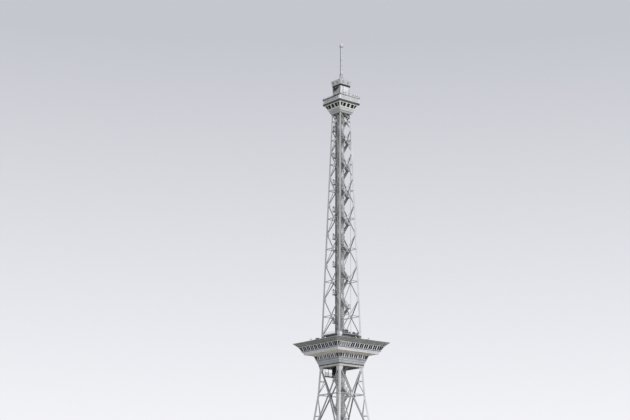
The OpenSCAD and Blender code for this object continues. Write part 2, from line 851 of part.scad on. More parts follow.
// Opening between the last upright window and the corner, whose outer side slants with the corner
module slanted_window(z0, z1) {
    x = lookout_pitch + lookout_window_w / 2 + lookout_bar_w;
    inset = lookout_post_w + lookout_bar_w;
    x0 = wall_r(z0, lookout_foot_z, lookout_foot_r, lookout_head_z, lookout_head_r) - inset;
    x1 = wall_r(z1, lookout_foot_z, lookout_foot_r, lookout_head_z, lookout_head_r) - inset;
    translate([0, -deck_r / 2, 0]) rotate([quarter, 0, 0]) linear_extrude(deck_r / 2)
        polygon([[x, z0], [x0, z0], [x1, z1], [x, z1]]);
}

module lookout_walls() {
    z = lookout_foot_z + lookout_sill_h;
    color("ivory") four_times() difference() {
        mitred_side(lookout_wall, lookout_post_w);
        for (x = [-1:1]) translate([x * lookout_pitch - lookout_window_w / 2, -deck_r, z])
            cube([lookout_window_w, deck_r / 2, lookout_window_h]);
        for (s = [0, 1]) mirror([s, 0, 0]) slanted_window(z, z + lookout_window_h);
    }
}

module lookout_posts() {
    color("ivory") four_times() mitred_corner(lookout_wall, lookout_post_w);
}

module lookout_glass() {
    color("darkslategray", 0.6) four_times() glass_sheet(
        lookout_foot_z, lookout_foot_r, lookout_head_z, lookout_head_r, lookout_t,
        lookout_foot_z + lookout_sill_h / 2, lookout_head_z - gap, lookout_post_w);
}

module viewing_deck() {
    rim_z = lookout_head_z + deck_rim_rise;
    color("dimgray") union() {
        square_block(lookout_head_z, lookout_head_r, rim_z, deck_r);
        square_plate(rim_z, deck_r, deck_edge_t);
    }
}

module deck_parapet() {
    color("silver") four_times()
        mitred_side(slab_profile(deck_r - parapet_t, deck_r, deck_z, parapet_h), gap);
}

module cabin_walls() {
    window_z = louvre_z - cabin_window_h - cabin_t;
    color("gainsboro") difference() {
        four_times() mitred_side(slab_profile(cabin_r - cabin_t, cabin_r, deck_z, cabin_h), gap);
        translate([-cabin_door_w / 2, cabin_r - overrun, deck_z - overrun])
            cube([cabin_door_w, 2 * overrun, cabin_door_h + overrun]);
        translate([-cabin_r + 2 * cabin_t, -cabin_r - overrun, window_z])
            cube([cabin_window_w, 2 * overrun, cabin_window_h]);
    }
}

module cabin_roof() {
    color("dimgray") union() {
        square_plate(louvre_z, cabin_r - louvre_inset, louvre_h);
        square_plate(cabin_slab_z, cabin_slab_r, cabin_slab_t);
    }
}

module cabin_parapet() {
    color("silver") four_times() mitred_side(wall_profile(
        cabin_top_z, cabin_slab_r, cabin_top_z + crown_h, cabin_slab_r + crown_flare, cabin_t), gap);
}

// Antenna
module strut(p, q, d) {
    v = q - p;
    translate(p) rotate([0, acos(v[2] / norm(v)), atan2(v[1], v[0])]) cylinder(h = norm(v), d = d, $fn = 8);
}

module antenna_pyramid() {
    foot = [-pyramid_r, -pyramid_r, cabin_top_z + pyramid_plate_t / 2];
    head = [-pyramid_head_r, -pyramid_head_r, pyramid_top_z - pyramid_plate_t / 2];
    mid = (foot + head) / 2;
    plate_r = pyramid_r + pyramid_leg_d;
    color("silver") union() {
        four_times() {
            strut(foot, head, pyramid_leg_d);
            strut(mid, [-mid[0], mid[1], mid[2]], pyramid_leg_d / 2);
        }
        square_plate(cabin_top_z, plate_r, pyramid_plate_t);
        square_plate(pyramid_top_z - pyramid_plate_t, mast_d / 2 + pyramid_leg_d, pyramid_plate_t);
    }
}

module antenna_mast() {
    color("lightgray") union() {
        translate([0, 0, pyramid_top_z]) cylinder(h = mast_l, d = mast_d);
        translate([0, 0, platform_z]) cylinder(h = platform_t, d = platform_d);
    }
}

module antenna_rod() {
    drum_z = platform_z + platform_t;
    color("silver") union() {
        translate([0, 0, drum_z]) cylinder(h = drum_h, d = drum_d);
        translate([0, 0, drum_z]) cylinder(h = rod_l, d = rod_d);
    }
}

foundation_blocks();
foot_insulators();
for (i = [0:3]) {
    leg(i);
    lower_bracing(i);
    mast_bracing(i);
}
portal_braces();
plan_bracing();
shaft_base_plate();
shaft_posts();
shaft_walls();
shaft_door_jambs();
stair_flights();
stair_landings();
cable_riser();
service_platform();
restaurant_ring_beam();
restaurant_floor();
restaurant_walls();
restaurant_posts();
restaurant_glass();
promenade_floor();
promenade_walls();
promenade_posts();
promenade_glass();
promenade_ceiling();
eave_soffit();
restaurant_roof();
roof_middle();
roof_housing();
roof_housing_slab();
roof_lamps();
radio_dishes();
lookout_base();
lookout_floor();
lookout_walls();
lookout_posts();
lookout_glass();
viewing_deck();
deck_parapet();
cabin_walls();
cabin_roof();
cabin_parapet();
antenna_pyramid();
antenna_mast();
antenna_rod();
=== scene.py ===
"""The looks of a square lattice radio mast, 1:10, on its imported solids. Metres, +Z up, +X east, +Y north."""

import json
import math

import bmesh
import bpy
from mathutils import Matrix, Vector


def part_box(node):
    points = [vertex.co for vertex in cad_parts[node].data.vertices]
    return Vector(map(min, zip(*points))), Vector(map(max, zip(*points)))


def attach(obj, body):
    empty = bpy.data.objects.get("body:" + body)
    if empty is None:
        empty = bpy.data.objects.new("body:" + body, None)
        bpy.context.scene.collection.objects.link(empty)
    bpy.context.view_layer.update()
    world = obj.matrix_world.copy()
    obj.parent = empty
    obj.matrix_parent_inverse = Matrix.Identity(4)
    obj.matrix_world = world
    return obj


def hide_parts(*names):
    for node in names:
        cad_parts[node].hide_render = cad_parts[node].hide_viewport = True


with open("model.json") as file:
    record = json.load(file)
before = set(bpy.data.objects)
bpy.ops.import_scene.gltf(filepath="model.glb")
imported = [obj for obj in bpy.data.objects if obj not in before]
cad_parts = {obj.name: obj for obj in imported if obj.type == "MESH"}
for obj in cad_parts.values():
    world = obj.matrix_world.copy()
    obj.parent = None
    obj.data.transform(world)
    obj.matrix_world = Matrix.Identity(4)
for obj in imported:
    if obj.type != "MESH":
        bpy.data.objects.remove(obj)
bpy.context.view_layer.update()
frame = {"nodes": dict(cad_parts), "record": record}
nodes = frame["nodes"]
scene = bpy.context.scene

# Camera: 35 m away to the south-east at eye height, looking up; the mast stands right of the middle
DISTANCE, EYE, TILT, HEADING = 35.0, 0.16, math.radians(14.93), math.radians(50.0)
FOCAL_PX, PICTURE_W, AXIS_X, SENSOR_MM, FAR = 1300.0, 630.0, 341.3, 36.0, 400.0
cam_data = bpy.data.cameras.new("camera")
camera = bpy.data.objects.new("camera", cam_data)
scene.collection.objects.link(camera)
scene.camera = camera
cam_data.sensor_width = SENSOR_MM
cam_data.lens = SENSOR_MM * FOCAL_PX / PICTURE_W
cam_data.shift_x = (PICTURE_W / 2 - AXIS_X) / PICTURE_W
cam_data.clip_end = FAR
camera.location = (DISTANCE * math.sin(HEADING), -DISTANCE * math.cos(HEADING), EYE)
look = Vector((-math.sin(HEADING) * math.cos(TILT), math.cos(HEADING) * math.cos(TILT), math.sin(TILT)))
camera.rotation_euler = look.to_track_quat("-Z", "Y").to_euler()
scene.view_settings.view_transform = "Standard"


def low(node):
    """The lowest corner of a node's box."""
    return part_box(node)[0]


def high(node):
    """The highest corner of a node's box."""
    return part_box(node)[1]


# Materials
def node_of(tree, kind, **values):
    """A new shader node with these settings."""
    made = tree.nodes.new(kind)
    for key, value in values.items():
        setattr(made, key, value)
    return made


def noise_of(tree, coord, scale, detail=5.0, rough=0.55, stretch=None):
    """A noise factor in object coordinates, stretched along the axes if asked."""
    source = coord.outputs["Object"]
    if stretch:
        mapping = node_of(tree, "ShaderNodeMapping")
        mapping.inputs["Scale"].default_value = stretch
        tree.links.new(source, mapping.inputs["Vector"])
        source = mapping.outputs["Vector"]
    noise = node_of(tree, "ShaderNodeTexNoise")
    noise.inputs["Scale"].default_value = scale
    noise.inputs["Detail"].default_value = detail
    noise.inputs["Roughness"].default_value = rough
    tree.links.new(source, noise.inputs["Vector"])
    return noise.outputs["Fac"]


def cells_of(tree, coord, pitch):
    """A share that is one random number in each cell of a grid with these pitches."""
    split = node_of(tree, "ShaderNodeVectorMath", operation="DIVIDE")
    split.inputs[1].default_value = pitch
    tree.links.new(coord.outputs["Object"], split.inputs[0])
    whole = node_of(tree, "ShaderNodeVectorMath", operation="FLOOR")
    tree.links.new(split.outputs["Vector"], whole.inputs[0])
    white = node_of(tree, "ShaderNodeTexWhiteNoise")
    tree.links.new(whole.outputs["Vector"], white.inputs["Vector"])
    return white.outputs["Value"]


def ranged(tree, value, at_low, at_high, a=0.3, b=0.7):
    """The value, which runs from a to b, brought to run between two others."""
    out = node_of(tree, "ShaderNodeMapRange")
    for key, number in zip(("From Min", "From Max", "To Min", "To Max"), (a, b, at_low, at_high)):
        out.inputs[key].default_value = number
    tree.links.new(value, out.inputs["Value"])
    return out.outputs["Result"]


def joined(tree, operation, a, b):
    """Two values brought to one by a math node."""
    out = node_of(tree, "ShaderNodeMath", operation=operation)
    tree.links.new(a, out.inputs[0])
    tree.links.new(b, out.inputs[1])
    return out.outputs["Value"]


def mixed(tree, mask, a, colour):
    """The colour laid over a where the mask is high."""
    mix = node_of(tree, "ShaderNodeMix", data_type="RGBA")
    mix.inputs["B"].default_value = (*colour, 1)
    tree.links.new(mask, mix.inputs["Factor"])
    tree.links.new(a, mix.inputs["A"])
    return mix.outputs["Result"]


RUST, STAIN = (0.26, 0.15, 0.09), (0.30, 0.24, 0.18)
STREAK_STRETCH, STAIN_STRETCH = (34, 34, 2.2), (1, 1, 0.35)
STAIN_SCALE, RUST_SCALE, GRAIN_SCALE, GRAIN_DEPTH = 7.0, 42.0, 160.0, 0.003
STAIN_SHARES, RUST_SHARES, GLOSS_SHARE, LEAST_ROUGH_SHARE = (0.55, 0.75), (0.62, 0.72), 0.08, 0.02


def finish_of(name, colour, rough=0.55, metal=0.0, cloud=0.08, cloud_scale=2.5, streak=0.08, grain=0.1,
              stain=0.0, rust=0.0, pitch=None, cell=0.0, alpha=1.0, coat=0.0, shine=0.5):
    """A weathered finish: clouds, streaks that run down, sheets of uneven tone, stains, rust, grain."""
    material = bpy.data.materials.new(name)
    material.use_nodes = True
    tree = material.node_tree
    shader = tree.nodes["Principled BSDF"]
    coord = node_of(tree, "ShaderNodeTexCoord")
    clouds = ranged(tree, noise_of(tree, coord, cloud_scale), 1 - cloud, 1 + cloud)
    runs = ranged(tree, noise_of(tree, coord, 1.0, stretch=STREAK_STRETCH), 1 - streak, 1 + streak)
    level = joined(tree, "MULTIPLY", clouds, runs)
    if pitch:
        tones = ranged(tree, cells_of(tree, coord, pitch), 1 - cell, 1 + cell, 0, 1)
        level = joined(tree, "MULTIPLY", level, tones)
    colour_node = node_of(tree, "ShaderNodeVectorMath", operation="SCALE")
    colour_node.inputs[0].default_value = colour
    tree.links.new(level, colour_node.inputs["Scale"])
    out = colour_node.outputs["Vector"]
    if stain:
        spots = noise_of(tree, coord, STAIN_SCALE, detail=8.0, rough=0.7, stretch=STAIN_STRETCH)
        out = mixed(tree, ranged(tree, spots, 0, stain, *STAIN_SHARES), out, STAIN)
    if rust:
        specks = noise_of(tree, coord, RUST_SCALE, detail=4.0, rough=0.6)
        out = mixed(tree, ranged(tree, specks, 0, rust, *RUST_SHARES), out, RUST)
    tree.links.new(out, shader.inputs["Base Color"])
    fine = noise_of(tree, coord, GRAIN_SCALE, detail=3.0)
    gloss = ranged(tree, fine, max(rough - GLOSS_SHARE, LEAST_ROUGH_SHARE), min(rough + GLOSS_SHARE, 1))
    tree.links.new(gloss, shader.inputs["Roughness"])
    shader.inputs["Metallic"].default_value = metal
    shader.inputs["Alpha"].default_value = alpha
    shader.inputs["Coat Weight"].default_value = coat
    shader.inputs["Specular IOR Level"].default_value = shine
    if grain:
        bump = node_of(tree, "ShaderNodeBump")
        bump.inputs["Strength"].default_value = grain
        bump.inputs["Distance"].default_value = GRAIN_DEPTH
        tree.links.new(fine, bump.inputs["Height"])
        tree.links.new(bump.outputs["Normal"], shader.inputs["Normal"])
    return material


# Pitches of the uneven sheets; a long pitch has no joint along its axis but at the axis's zero
STOREY, WINDOW_PITCH, LONG = 0.196, 0.078, 9
FINISHES = {
    "concrete": dict(colour=(0.42, 0.40, 0.37), rough=0.9, cloud=0.16, streak=0.14, grain=0.7, stain=0.35,
                     pitch=(LONG, LONG, 0.03), cell=0.05),
    "porcelain": dict(colour=(0.16, 0.07, 0.035), rough=0.16, cloud=0.18, streak=0.05, grain=0.02, coat=0.6),
    "leg_steel": dict(colour=(0.52, 0.525, 0.535), rough=0.52, metal=0.15, cloud=0.09, cloud_scale=1.5,
                      streak=0.10, grain=0.2, stain=0.18, rust=0.15, pitch=(LONG, LONG, 0.62), cell=0.05),
    "lattice_steel": dict(colour=(0.32, 0.325, 0.335), metal=0.15, cloud=0.11, cloud_scale=1.8, streak=0.09,
                          grain=0.2, stain=0.22, rust=0.2),
    "stair_steel": dict(colour=(0.26, 0.26, 0.26), rough=0.6, metal=0.2, cloud=0.14, cloud_scale=4.0,
                        grain=0.2, stain=0.2, rust=0.3),
    "shaft_panel": dict(colour=(0.64, 0.645, 0.655), rough=0.5, metal=0.1, cloud=0.12, cloud_scale=2.0,
                        streak=0.14, grain=0.15, stain=0.2, pitch=(0.15, 0.15, STOREY / 2), cell=0.10),
    "beam_white": dict(colour=(0.47, 0.465, 0.44), cloud=0.08, cloud_scale=3.0, streak=0.12, grain=0.15,
                       stain=0.22, rust=0.2),
    "skirt_grey": dict(colour=(0.32, 0.33, 0.355), rough=0.5, cloud=0.10, cloud_scale=3.0, streak=0.13,
                       grain=0.15, stain=0.12, pitch=(0.076, 0.076, LONG), cell=0.07),
    "floor_board": dict(colour=(0.60, 0.555, 0.465), rough=0.7, cloud=0.13, cloud_scale=5.0, streak=0.05,
                        grain=0.25, stain=0.2, pitch=(0.0375, 0.0375, LONG), cell=0.08),
    "parapet_grey": dict(colour=(0.60, 0.60, 0.635), rough=0.5, cloud=0.07, cloud_scale=2.0, streak=0.10,
                         grain=0.12, stain=0.10, pitch=(0.0741, 0.0741, LONG), cell=0.04),
    "eave_grey": dict(colour=(0.31, 0.31, 0.285), rough=0.6, cloud=0.12, cloud_scale=4.0, streak=0.10,
                      grain=0.2, stain=0.15, pitch=(0.0741, 0.0741, LONG), cell=0.10),
    "roof_grey": dict(colour=(0.27, 0.275, 0.28), rough=0.5, metal=0.3, cloud=0.14, streak=0.05, grain=0.2,
                      stain=0.25, pitch=(0.08, 0.08, LONG), cell=0.06),
    "fitting_grey": dict(colour=(0.055, 0.055, 0.055), metal=0.2, cloud=0.15, cloud_scale=6.0, streak=0.06,
                         grain=0.15, rust=0.2),
    "fascia_blue": dict(colour=(0.52, 0.53, 0.53), rough=0.45, cloud=0.09, cloud_scale=4.0, streak=0.12,
                        grain=0.12, stain=0.15),
    "cream": dict(colour=(0.70, 0.70, 0.665), rough=0.45, cloud=0.05, cloud_scale=5.0, streak=0.07,
                  stain=0.10),
    "deck_dark": dict(colour=(0.06, 0.06, 0.058), rough=0.6, cloud=0.14, cloud_scale=5.0, grain=0.2),
    "cabin_white": dict(colour=(0.63, 0.63, 0.66), rough=0.5, cloud=0.07, cloud_scale=5.0, streak=0.10,
                        grain=0.12, stain=0.16, rust=0.15, pitch=(0.07, 0.07, 0.19), cell=0.03),
    "antenna_grey": dict(colour=(0.42, 0.43, 0.44), rough=0.4, metal=0.3, cloud_scale=5.0, streak=0.05,
                         stain=0.1, rust=0.15, pitch=(LONG, LONG, 0.14), cell=0.03),
    "window_glass": dict(colour=(0.010, 0.013, 0.009), rough=0.10, cloud=0.3, cloud_scale=9.0, streak=0.0,
                         grain=0.0, pitch=(WINDOW_PITCH, WINDOW_PITCH, LONG), cell=0.6, alpha=0.9,
                         shine=0.2),
    "lamp_lens": dict(colour=(0.75, 0.75, 0.70), rough=0.12, cloud=0.06, cloud_scale=30.0, grain=0.0,
                      coat=0.5),
    "signal_red": dict(colour=(0.24, 0.05, 0.04), rough=0.2, cloud=0.1, cloud_scale=40.0, grain=0.0,
                       coat=0.5),
    "blind_cloth": dict(colour=(0.22, 0.215, 0.19), rough=0.85, cloud=0.08, cloud_scale=8.0, streak=0.04,
                        grain=0.3, pitch=(WINDOW_PITCH, WINDOW_PITCH, LONG), cell=0.06),
    "cable_black": dict(colour=(0.14, 0.14, 0.14), rough=0.5, cloud=0.2, cloud_scale=12.0, grain=0.1),
    # On the shaft's east and north sides this darker sheet is painted shade
    "sheet_dark": dict(colour=(0.27, 0.272, 0.27), rough=0.5, metal=0.1, cloud=0.12, cloud_scale=2.0,
                       streak=0.14, grain=0.15, stain=0.2, pitch=(0.15, 0.15, STOREY / 2), cell=0.12),
    # Shaded sheet and shaded cream: painted shade of the south and west sides, and of the mast's left half
    "shaded_sheet": dict(colour=(0.36, 0.365, 0.37), rough=0.55, cloud=0.10, cloud_scale=3.0, streak=0.16,
                         grain=0.15, stain=0.2, pitch=(0.062, 0.062, LONG), cell=0.06),
    "shaded_cream": dict(colour=(0.40, 0.40, 0.35), rough=0.5, cloud=0.08, cloud_scale=5.0, streak=0.12,
                         stain=0.18),
    "pale_sheet": dict(colour=(0.46, 0.46, 0.47), rough=0.5, cloud=0.09, cloud_scale=4.0, streak=0.14,
                        grain=0.12, stain=0.18, pitch=(0.07, 0.07, LONG), cell=0.05),
    # Near-black opaque panes over the windows: painted shade of the unlit inside
    "pane_dark": dict(colour=(0.010, 0.012, 0.010), rough=0.14, cloud=0.2, cloud_scale=9.0, streak=0.0,
                      grain=0.0, pitch=(WINDOW_PITCH, WINDOW_PITCH, LONG), cell=0.4, shine=0.12),
    "equipment_dark": dict(colour=(0.020, 0.020, 0.021), rough=0.7, cloud=0.15, cloud_scale=8.0, grain=0.15,
                           shine=0.2),
    "equipment_green": dict(colour=(0.28, 0.30, 0.27), rough=0.55, cloud=0.10, cloud_scale=9.0, grain=0.15,
                            stain=0.15),
}
MATERIALS = {name: finish_of(name, **values) for name, values in FINISHES.items()}


def dress(name, obj):
    """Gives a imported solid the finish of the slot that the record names."""
    slot = next(p["material_slot"] for p in frame["record"]["subparts"] if p["node"] == name)
    for material_slot in obj.material_slots:
        material_slot.material = MATERIALS[slot]


for node_name, node_obj in nodes.items():
    dress(node_name, node_obj)


# Mesh builder
CORNERS = ((-1, -1), (1, -1), (1, 1), (-1, 1))
UP, SOUTH = (0, 0, 1), (0, -1, 0)
BOLT_END, SMOOTH_BELOW = 0.005, math.radians(35)


def turned(point, side):
    """The point after this many quarter turns about the mast's axis."""
    x, y, z = point
    for _ in range(side % 4):
        x, y = -y, x
    return (x, y, z)


def circle(count, r=1.0, start_share=0.0):
    """Places round a circle about 0, the first one this share of their pitch past +X."""
    angles = [2 * math.pi * (i + start_share) / count for i in range(count)]
    return [(r * math.cos(a), r * math.sin(a)) for a in angles]


class Build:
    """Collects closed prisms, rings and tubes, and makes one piece of them."""

    def __init__(self):
        self.verts, self.faces = [], []

    def add(self, verts, faces):
        """Takes in the points and the faces of another form."""
        start = len(self.verts)
        self.verts.extend(verts)
        self.faces.extend(tuple(start + i for i in f) for f in faces)

    def loft(self, *loops, closed=False):
        """Joins loops of equal length; the ends are capped unless the loops close on themselves."""
        start, n, m = len(self.verts), len(loops[0]), len(loops)
        for loop in loops:
            self.verts.extend(tuple(p) for p in loop)
        for i in range(m if closed else m - 1):
            a, b = start + i * n, start + ((i + 1) % m) * n
            for j in range(n):
                k = (j + 1) % n
                self.faces.append((a + j, a + k, b + k, b + j))
        if not closed:
            self.faces.append(tuple(start + j for j in reversed(range(n))))
            self.faces.append(tuple(start + (m - 1) * n + j for j in range(n)))

    def box(self, p, q):
        """A box between two corners."""
        (x0, y0, z0), (x1, y1, z1) = p, q
        ring = [(x0, y0), (x1, y0), (x1, y1), (x0, y1)]
        self.loft([(x, y, z0) for x, y in ring], [(x, y, z1) for x, y in ring])

    def plate(self, r, x0, x1, z0, z1, out, back=0.0):
        """A box on an upright south wall of half width r, proud of it by out and sunk in it by back."""
        self.box((x0, -r - out, z0), (x1, -r + back, z1))

    def block(self, centre, size, taper=1.0):
        """A box by its middle and size, whose head is narrower by the taper."""
        (x, y, z), (w, d, h) = centre, size
        loops = []
        for dz, k in ((-h / 2, 1.0), (h / 2, taper)):
            loops.append([(x + sx * w * k / 2, y + sy * d * k / 2, z + dz) for sx, sy in CORNERS])
        self.loft(*loops)

    def beam(self, p, q, normal, wide, deep, shift=0.0, sink=0.0):
        """A bar from p to q, wide across and deep against the normal, moved sideways by shift, in by sink."""
        p, q, n = Vector(p), Vector(q), Vector(normal).normalized()
        side = (q - p).cross(n).normalized()
        n = side.cross(q - p).normalized()
        corners = ((-1, 0), (1, 0), (1, 1), (-1, 1))
        offsets = [side * (shift + s * wide / 2) - n * (sink + d * deep) for s, d in corners]
        self.loft([p + o for o in offsets], [q + o for o in offsets])

    def spool(self, p, axis, levels, sides=8):
        """A round form on an axis from p; the levels are pairs of distance along it and radius."""
        p, axis = Vector(p), Vector(axis).normalized()
        u = axis.orthogonal().normalized()
        v = axis.cross(u)
        self.loft(*[[p + axis * d + (u * x + v * y) * r for x, y in circle(sides)] for d, r in levels])

    def nut(self, at, r, h):
        """A nut of this radius and height, with the end of its bolt."""
        self.spool(at, UP, ((0, r), (h, r), (h, r / 2), (h + BOLT_END, r / 2)), 6)

    def tube(self, p, q, r, sides=8, r2=None):
        """A round bar from p to q, of radius r2 at q where that is given."""
        axis = Vector(q) - Vector(p)
        self.spool(p, axis, ((0, r), (axis.length, r if r2 is None else r2)), sides)

    def ring(self, profile, r=0.0, z=0.0):
        """A square ring with mitred corners; profile is a closed list of [out, up] from r and z."""
        points = [(r + out, z + up) for out, up in profile]
        self.loft(*[[(sx * a, sy * a, b) for a, b in points] for sx, sy in CORNERS], closed=True)

    def hoop(self, r, z, wide, tall):
        """A square ring of rectangular section: its outside half width, its foot, its width and height."""
        self.ring([(-wide, 0), (0, 0), (0, tall), (-wide, tall)], r, z)

    def band(self, lean, z0, z1, out, back=0.0):
        """A square ring on a leaning wall between two heights, proud of it by out, sunk in it by back."""
        self.ring([lean.ry(z, d) for z, d in ((z0, -back), (z1, -back), (z1, out), (z0, out))])

    def rivet(self, at, normal, r=0.0035, h=0.002):
        """A rivet's head on a face with this normal."""
        at, n = Vector(at), Vector(normal).normalized()
        self.tube(at - n * h, at + n * h, r, 6, r * 0.55)

    def repeat(self, sides=(1, 2, 3)):
        """Copies all that is built so far, turned by these numbers of quarter turns."""
        verts, faces = list(self.verts), list(self.faces)
        for side in sides:
            self.add([turned(v, side) for v in verts], faces)

    def turn_on(self, side):
        """Turns all that is built so far to this side."""
        self.verts = [turned(v, side) for v in self.verts]

    def make(self, name, slot, material=None, bevel=0.0, smooth=False, stands_for=()):
        """Makes the piece; a material other than its slot's own is named."""
        mesh = bpy.data.meshes.new(name)
        mesh.from_pydata(self.verts, [], self.faces)
        work = bmesh.new()
        work.from_mesh(mesh)
        bmesh.ops.recalc_face_normals(work, faces=work.faces)
        work.to_mesh(mesh)
        work.free()
        obj = bpy.data.objects.new(name, mesh)
        scene.collection.objects.link(obj)
        mesh.materials.append(MATERIALS[material or slot])
        if bevel:
            edge = obj.modifiers.new("edge", "BEVEL")
            edge.width, edge.segments, edge.limit_method = bevel, 1, "ANGLE"
        if smooth:
            mesh.shade_smooth()
            mesh.set_sharp_from_angle(angle=SMOOTH_BELOW)
        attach(obj, "root")
        if stands_for:
            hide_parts(*stands_for)
        return obj


class Lean:
    """The outer face of a south wall that leans outwards between two heights."""

    def __init__(self, z0, r0, z1, r1):
        self.z0, self.r0, self.z1, self.r1 = z0, r0, z1, r1
        self.angle = math.atan2(r1 - r0, z1 - z0)

    def r(self, z):
        """Half width of the wall at this height."""
        return self.r0 + (self.r1 - self.r0) * (z - self.z0) / (self.z1 - self.z0)

    def ry(self, z, out=0.0):
        """Half width and height of a point that stands out from the wall."""
        return (self.r(z) + out * math.cos(self.angle), z - out * math.sin(self.angle))

    def at(self, x, z, out=0.0):
        """A point on the south wall, or that far out from it."""
        r, z = self.ry(z, out)
        return (x, -r, z)

    def slab(self, build, x0, x1, z0, z1, out0, out1, slant=0.0):
        """A plate on the wall; slant moves its head sideways."""
        corners = [(x0, z0), (x1, z0), (x1 + slant, z1), (x0 + slant, z1)]
        build.loft([self.at(x, z, out0) for x, z in corners], [self.at(x, z, out1) for x, z in corners])

    def rib(self, build, x, wide, z0, z1, out, clear=0.008):
        """An upright rib, cut where it would pass the wall's slanted end."""
        steep = (self.r1 - self.r0) / (self.z1 - self.z0)
        z_in = max(z0, self.z0 + (abs(x) + clear - self.r0) / steep)
        if z_in < z1 - 0.004:
            self.slab(build, x - wide / 2, x + wide / 2, z_in, z1, 0, out)


def table(rows):
    """A function of the height that runs straight between the rows of [height, value]."""
    def value(z):
        for (za, a), (zb, b) in zip(rows, rows[1:]):
            if z <= zb:
                return a + (b - a) * (z - za) / (zb - za)
        return rows[-1][1]
    return value


def spread(count, pitch):
    """Places in a row of this many at this pitch, about 0."""
    return [(i - (count - 1) / 2) * pitch for i in range(count)]


def steps(start, end, pitch):
    """Places from the start at this pitch, up to the end."""
    return [start + i * pitch for i in range(int((end - start) / pitch + 1e-6) + 1)]


# Sizes of the tower, its lattice and its feet
BASE_R = 1.0
LEG_R_ROWS = ((0, BASE_R), (4.35, 0.453), (5.125, 0.411), (12.285, 0.192))
FLANGE_ROWS = ((0, 0.068), (12.285, 0.038))
LEG_T, BRACE_T, GUSSET_T, SHOE_T = 0.007, 0.005, 0.004, 0.014
GIRDER_Z, LOW_NODE_Z, BEND_Z, MAST_NODE_Z, LAST_NODE_Z = 2.1, 3.22, 4.35, 5.955, 11.85
INSIDE_LOW_Z, INSIDE_HIGH_Z = 5.0, 6.0
PANELS, PANEL_RATIO = 7, 0.94
BRACE_W, CROSS_W, THIN_W, LEVEL_W, BEND_W, GIRDER_W = 0.030, 0.020, 0.014, 0.015, 0.026, 0.044
FOOT_Z = high("foot_insulators").z
FOOT_C = high("foundation_blocks").x - 0.15
BEAM_Z = low("restaurant_ring_beam").z
LOOKOUT_Z = low("lookout_base").z
leg_r, flange = table(LEG_R_ROWS), table(FLANGE_ROWS)


def node_x(z):
    """Half distance between the middles of the leg flanges of one side."""
    return leg_r(z) - flange(z) / 2


def leg_edge(z):
    """Half distance between the inner edges of the leg flanges of one side."""
    return leg_r(z) - flange(z)


def face_point(x, z, sink=0.0):
    """A point on the south face of the tower, sunk behind the legs' outer faces."""
    return Vector((x, -(leg_r(z) - sink), z))


def face_normal(z):
    """The normal of the tower's south face at this height."""
    slope = (leg_r(z - 0.01) - leg_r(z + 0.01)) / 0.02
    return Vector((0, -1, slope)).normalized()


def series(n):
    """The height of n panels, each lower than the one below it, when the first one's is 1."""
    return (1 - PANEL_RATIO ** n) / (1 - PANEL_RATIO)


def crossing(z0, z1):
    """The height at which the diagonals of a panel cross."""
    return z0 + (z1 - z0) * node_x(z0) / (node_x(z0) + node_x(z1))


NODES_H = LAST_NODE_Z - MAST_NODE_Z
mast_nodes = [MAST_NODE_Z + NODES_H * series(i) / series(PANELS) for i in range(PANELS + 1)]
mast_nodes.append(LOOKOUT_Z)


def lattice_bars():
    """All bars of one side: [x0, z0, x1, z1, width]; a bar that ends at a leg ends at its x1."""
    bars = []
    for s in (-1, 1):
        for mid, end in ((GIRDER_Z, LOW_NODE_Z), (BEND_Z, LOW_NODE_Z), (BEND_Z, BEAM_Z)):
            half = (mid + end) / 2
            bars.append((0, mid, s * node_x(end), end, BRACE_W))
            bars.append((s * node_x(end) / 2, half, s * leg_r(half), half, THIN_W))
            bars.append((s * node_x(end) / 2, half, s * leg_r(mid), mid, THIN_W))
    for z0, z1 in zip(mast_nodes, mast_nodes[1:]):
        mid = crossing(z0, z1)
        bars += [(0, mid, s * node_x(z), z, CROSS_W) for s in (-1, 1) for z in (z0, z1)]
        bars.append((-leg_r(mid), mid, leg_r(mid), mid, LEVEL_W))
    for z, wide in ((BEND_Z, BEND_W), (LOW_NODE_Z, THIN_W), (GIRDER_Z, GIRDER_W)):
        bars.append((-leg_r(z), z, leg_r(z), z, wide))
    return bars


def brace_flanges():
    """Standing flanges behind the flat bars, so that each bar is an angle."""
    build, thick, depth = Build(), 0.003, LEG_T + BRACE_T
    for x0, z0, x1, z1, wide in lattice_bars():
        mid = (z0 + z1) / 2
        for edge in (-1, 1) if wide > BEND_W else (1,):
            p, q = face_point(x0, z0, depth), face_point(x1, z1, depth)
            inset = (q - p).normalized() * (0.010 + flange(mid) * 0.5)
            p = p + inset if abs(x0) > node_x(z0) * 0.99 else p
            shift = edge * (wide - thick) / 2
            build.beam(p, q - inset, face_normal(mid), thick, wide * 0.75, shift=shift)
    build.repeat()
    build.make("brace_flanges", "lattice_steel")


# Gusset plates: height and size of those on the crossings and of those beside the legs
CENTRE_PLATES = [(crossing(a, b), 0.05) for a, b in zip(mast_nodes, mast_nodes[1:])] + [(GIRDER_Z, 0.10)]
LEG_PLATES = [(z, 0.075) for z in mast_nodes[:-1]] + [(LOW_NODE_Z, 0.12), (BEAM_Z - 0.03, 0.10)]
BEND_PLATE, ROOF_NODE_PLATE = 0.065, 0.056
OCTAGON_SHARES = ((-0.7, -0.36), (-0.28, -0.8), (0.28, -0.8), (0.7, -0.36),
                  (0.7, 0.36), (0.28, 0.8), (-0.28, 0.8), (-0.7, 0.36))


def centre_plate(build, z, size, x=0.0, sink=LEG_T):
    """An eight-sided plate on the south face."""
    build.loft(*[[face_point(x + a * size, z + b * size, depth) for a, b in OCTAGON_SHARES]
                 for depth in (sink, sink - GUSSET_T)])


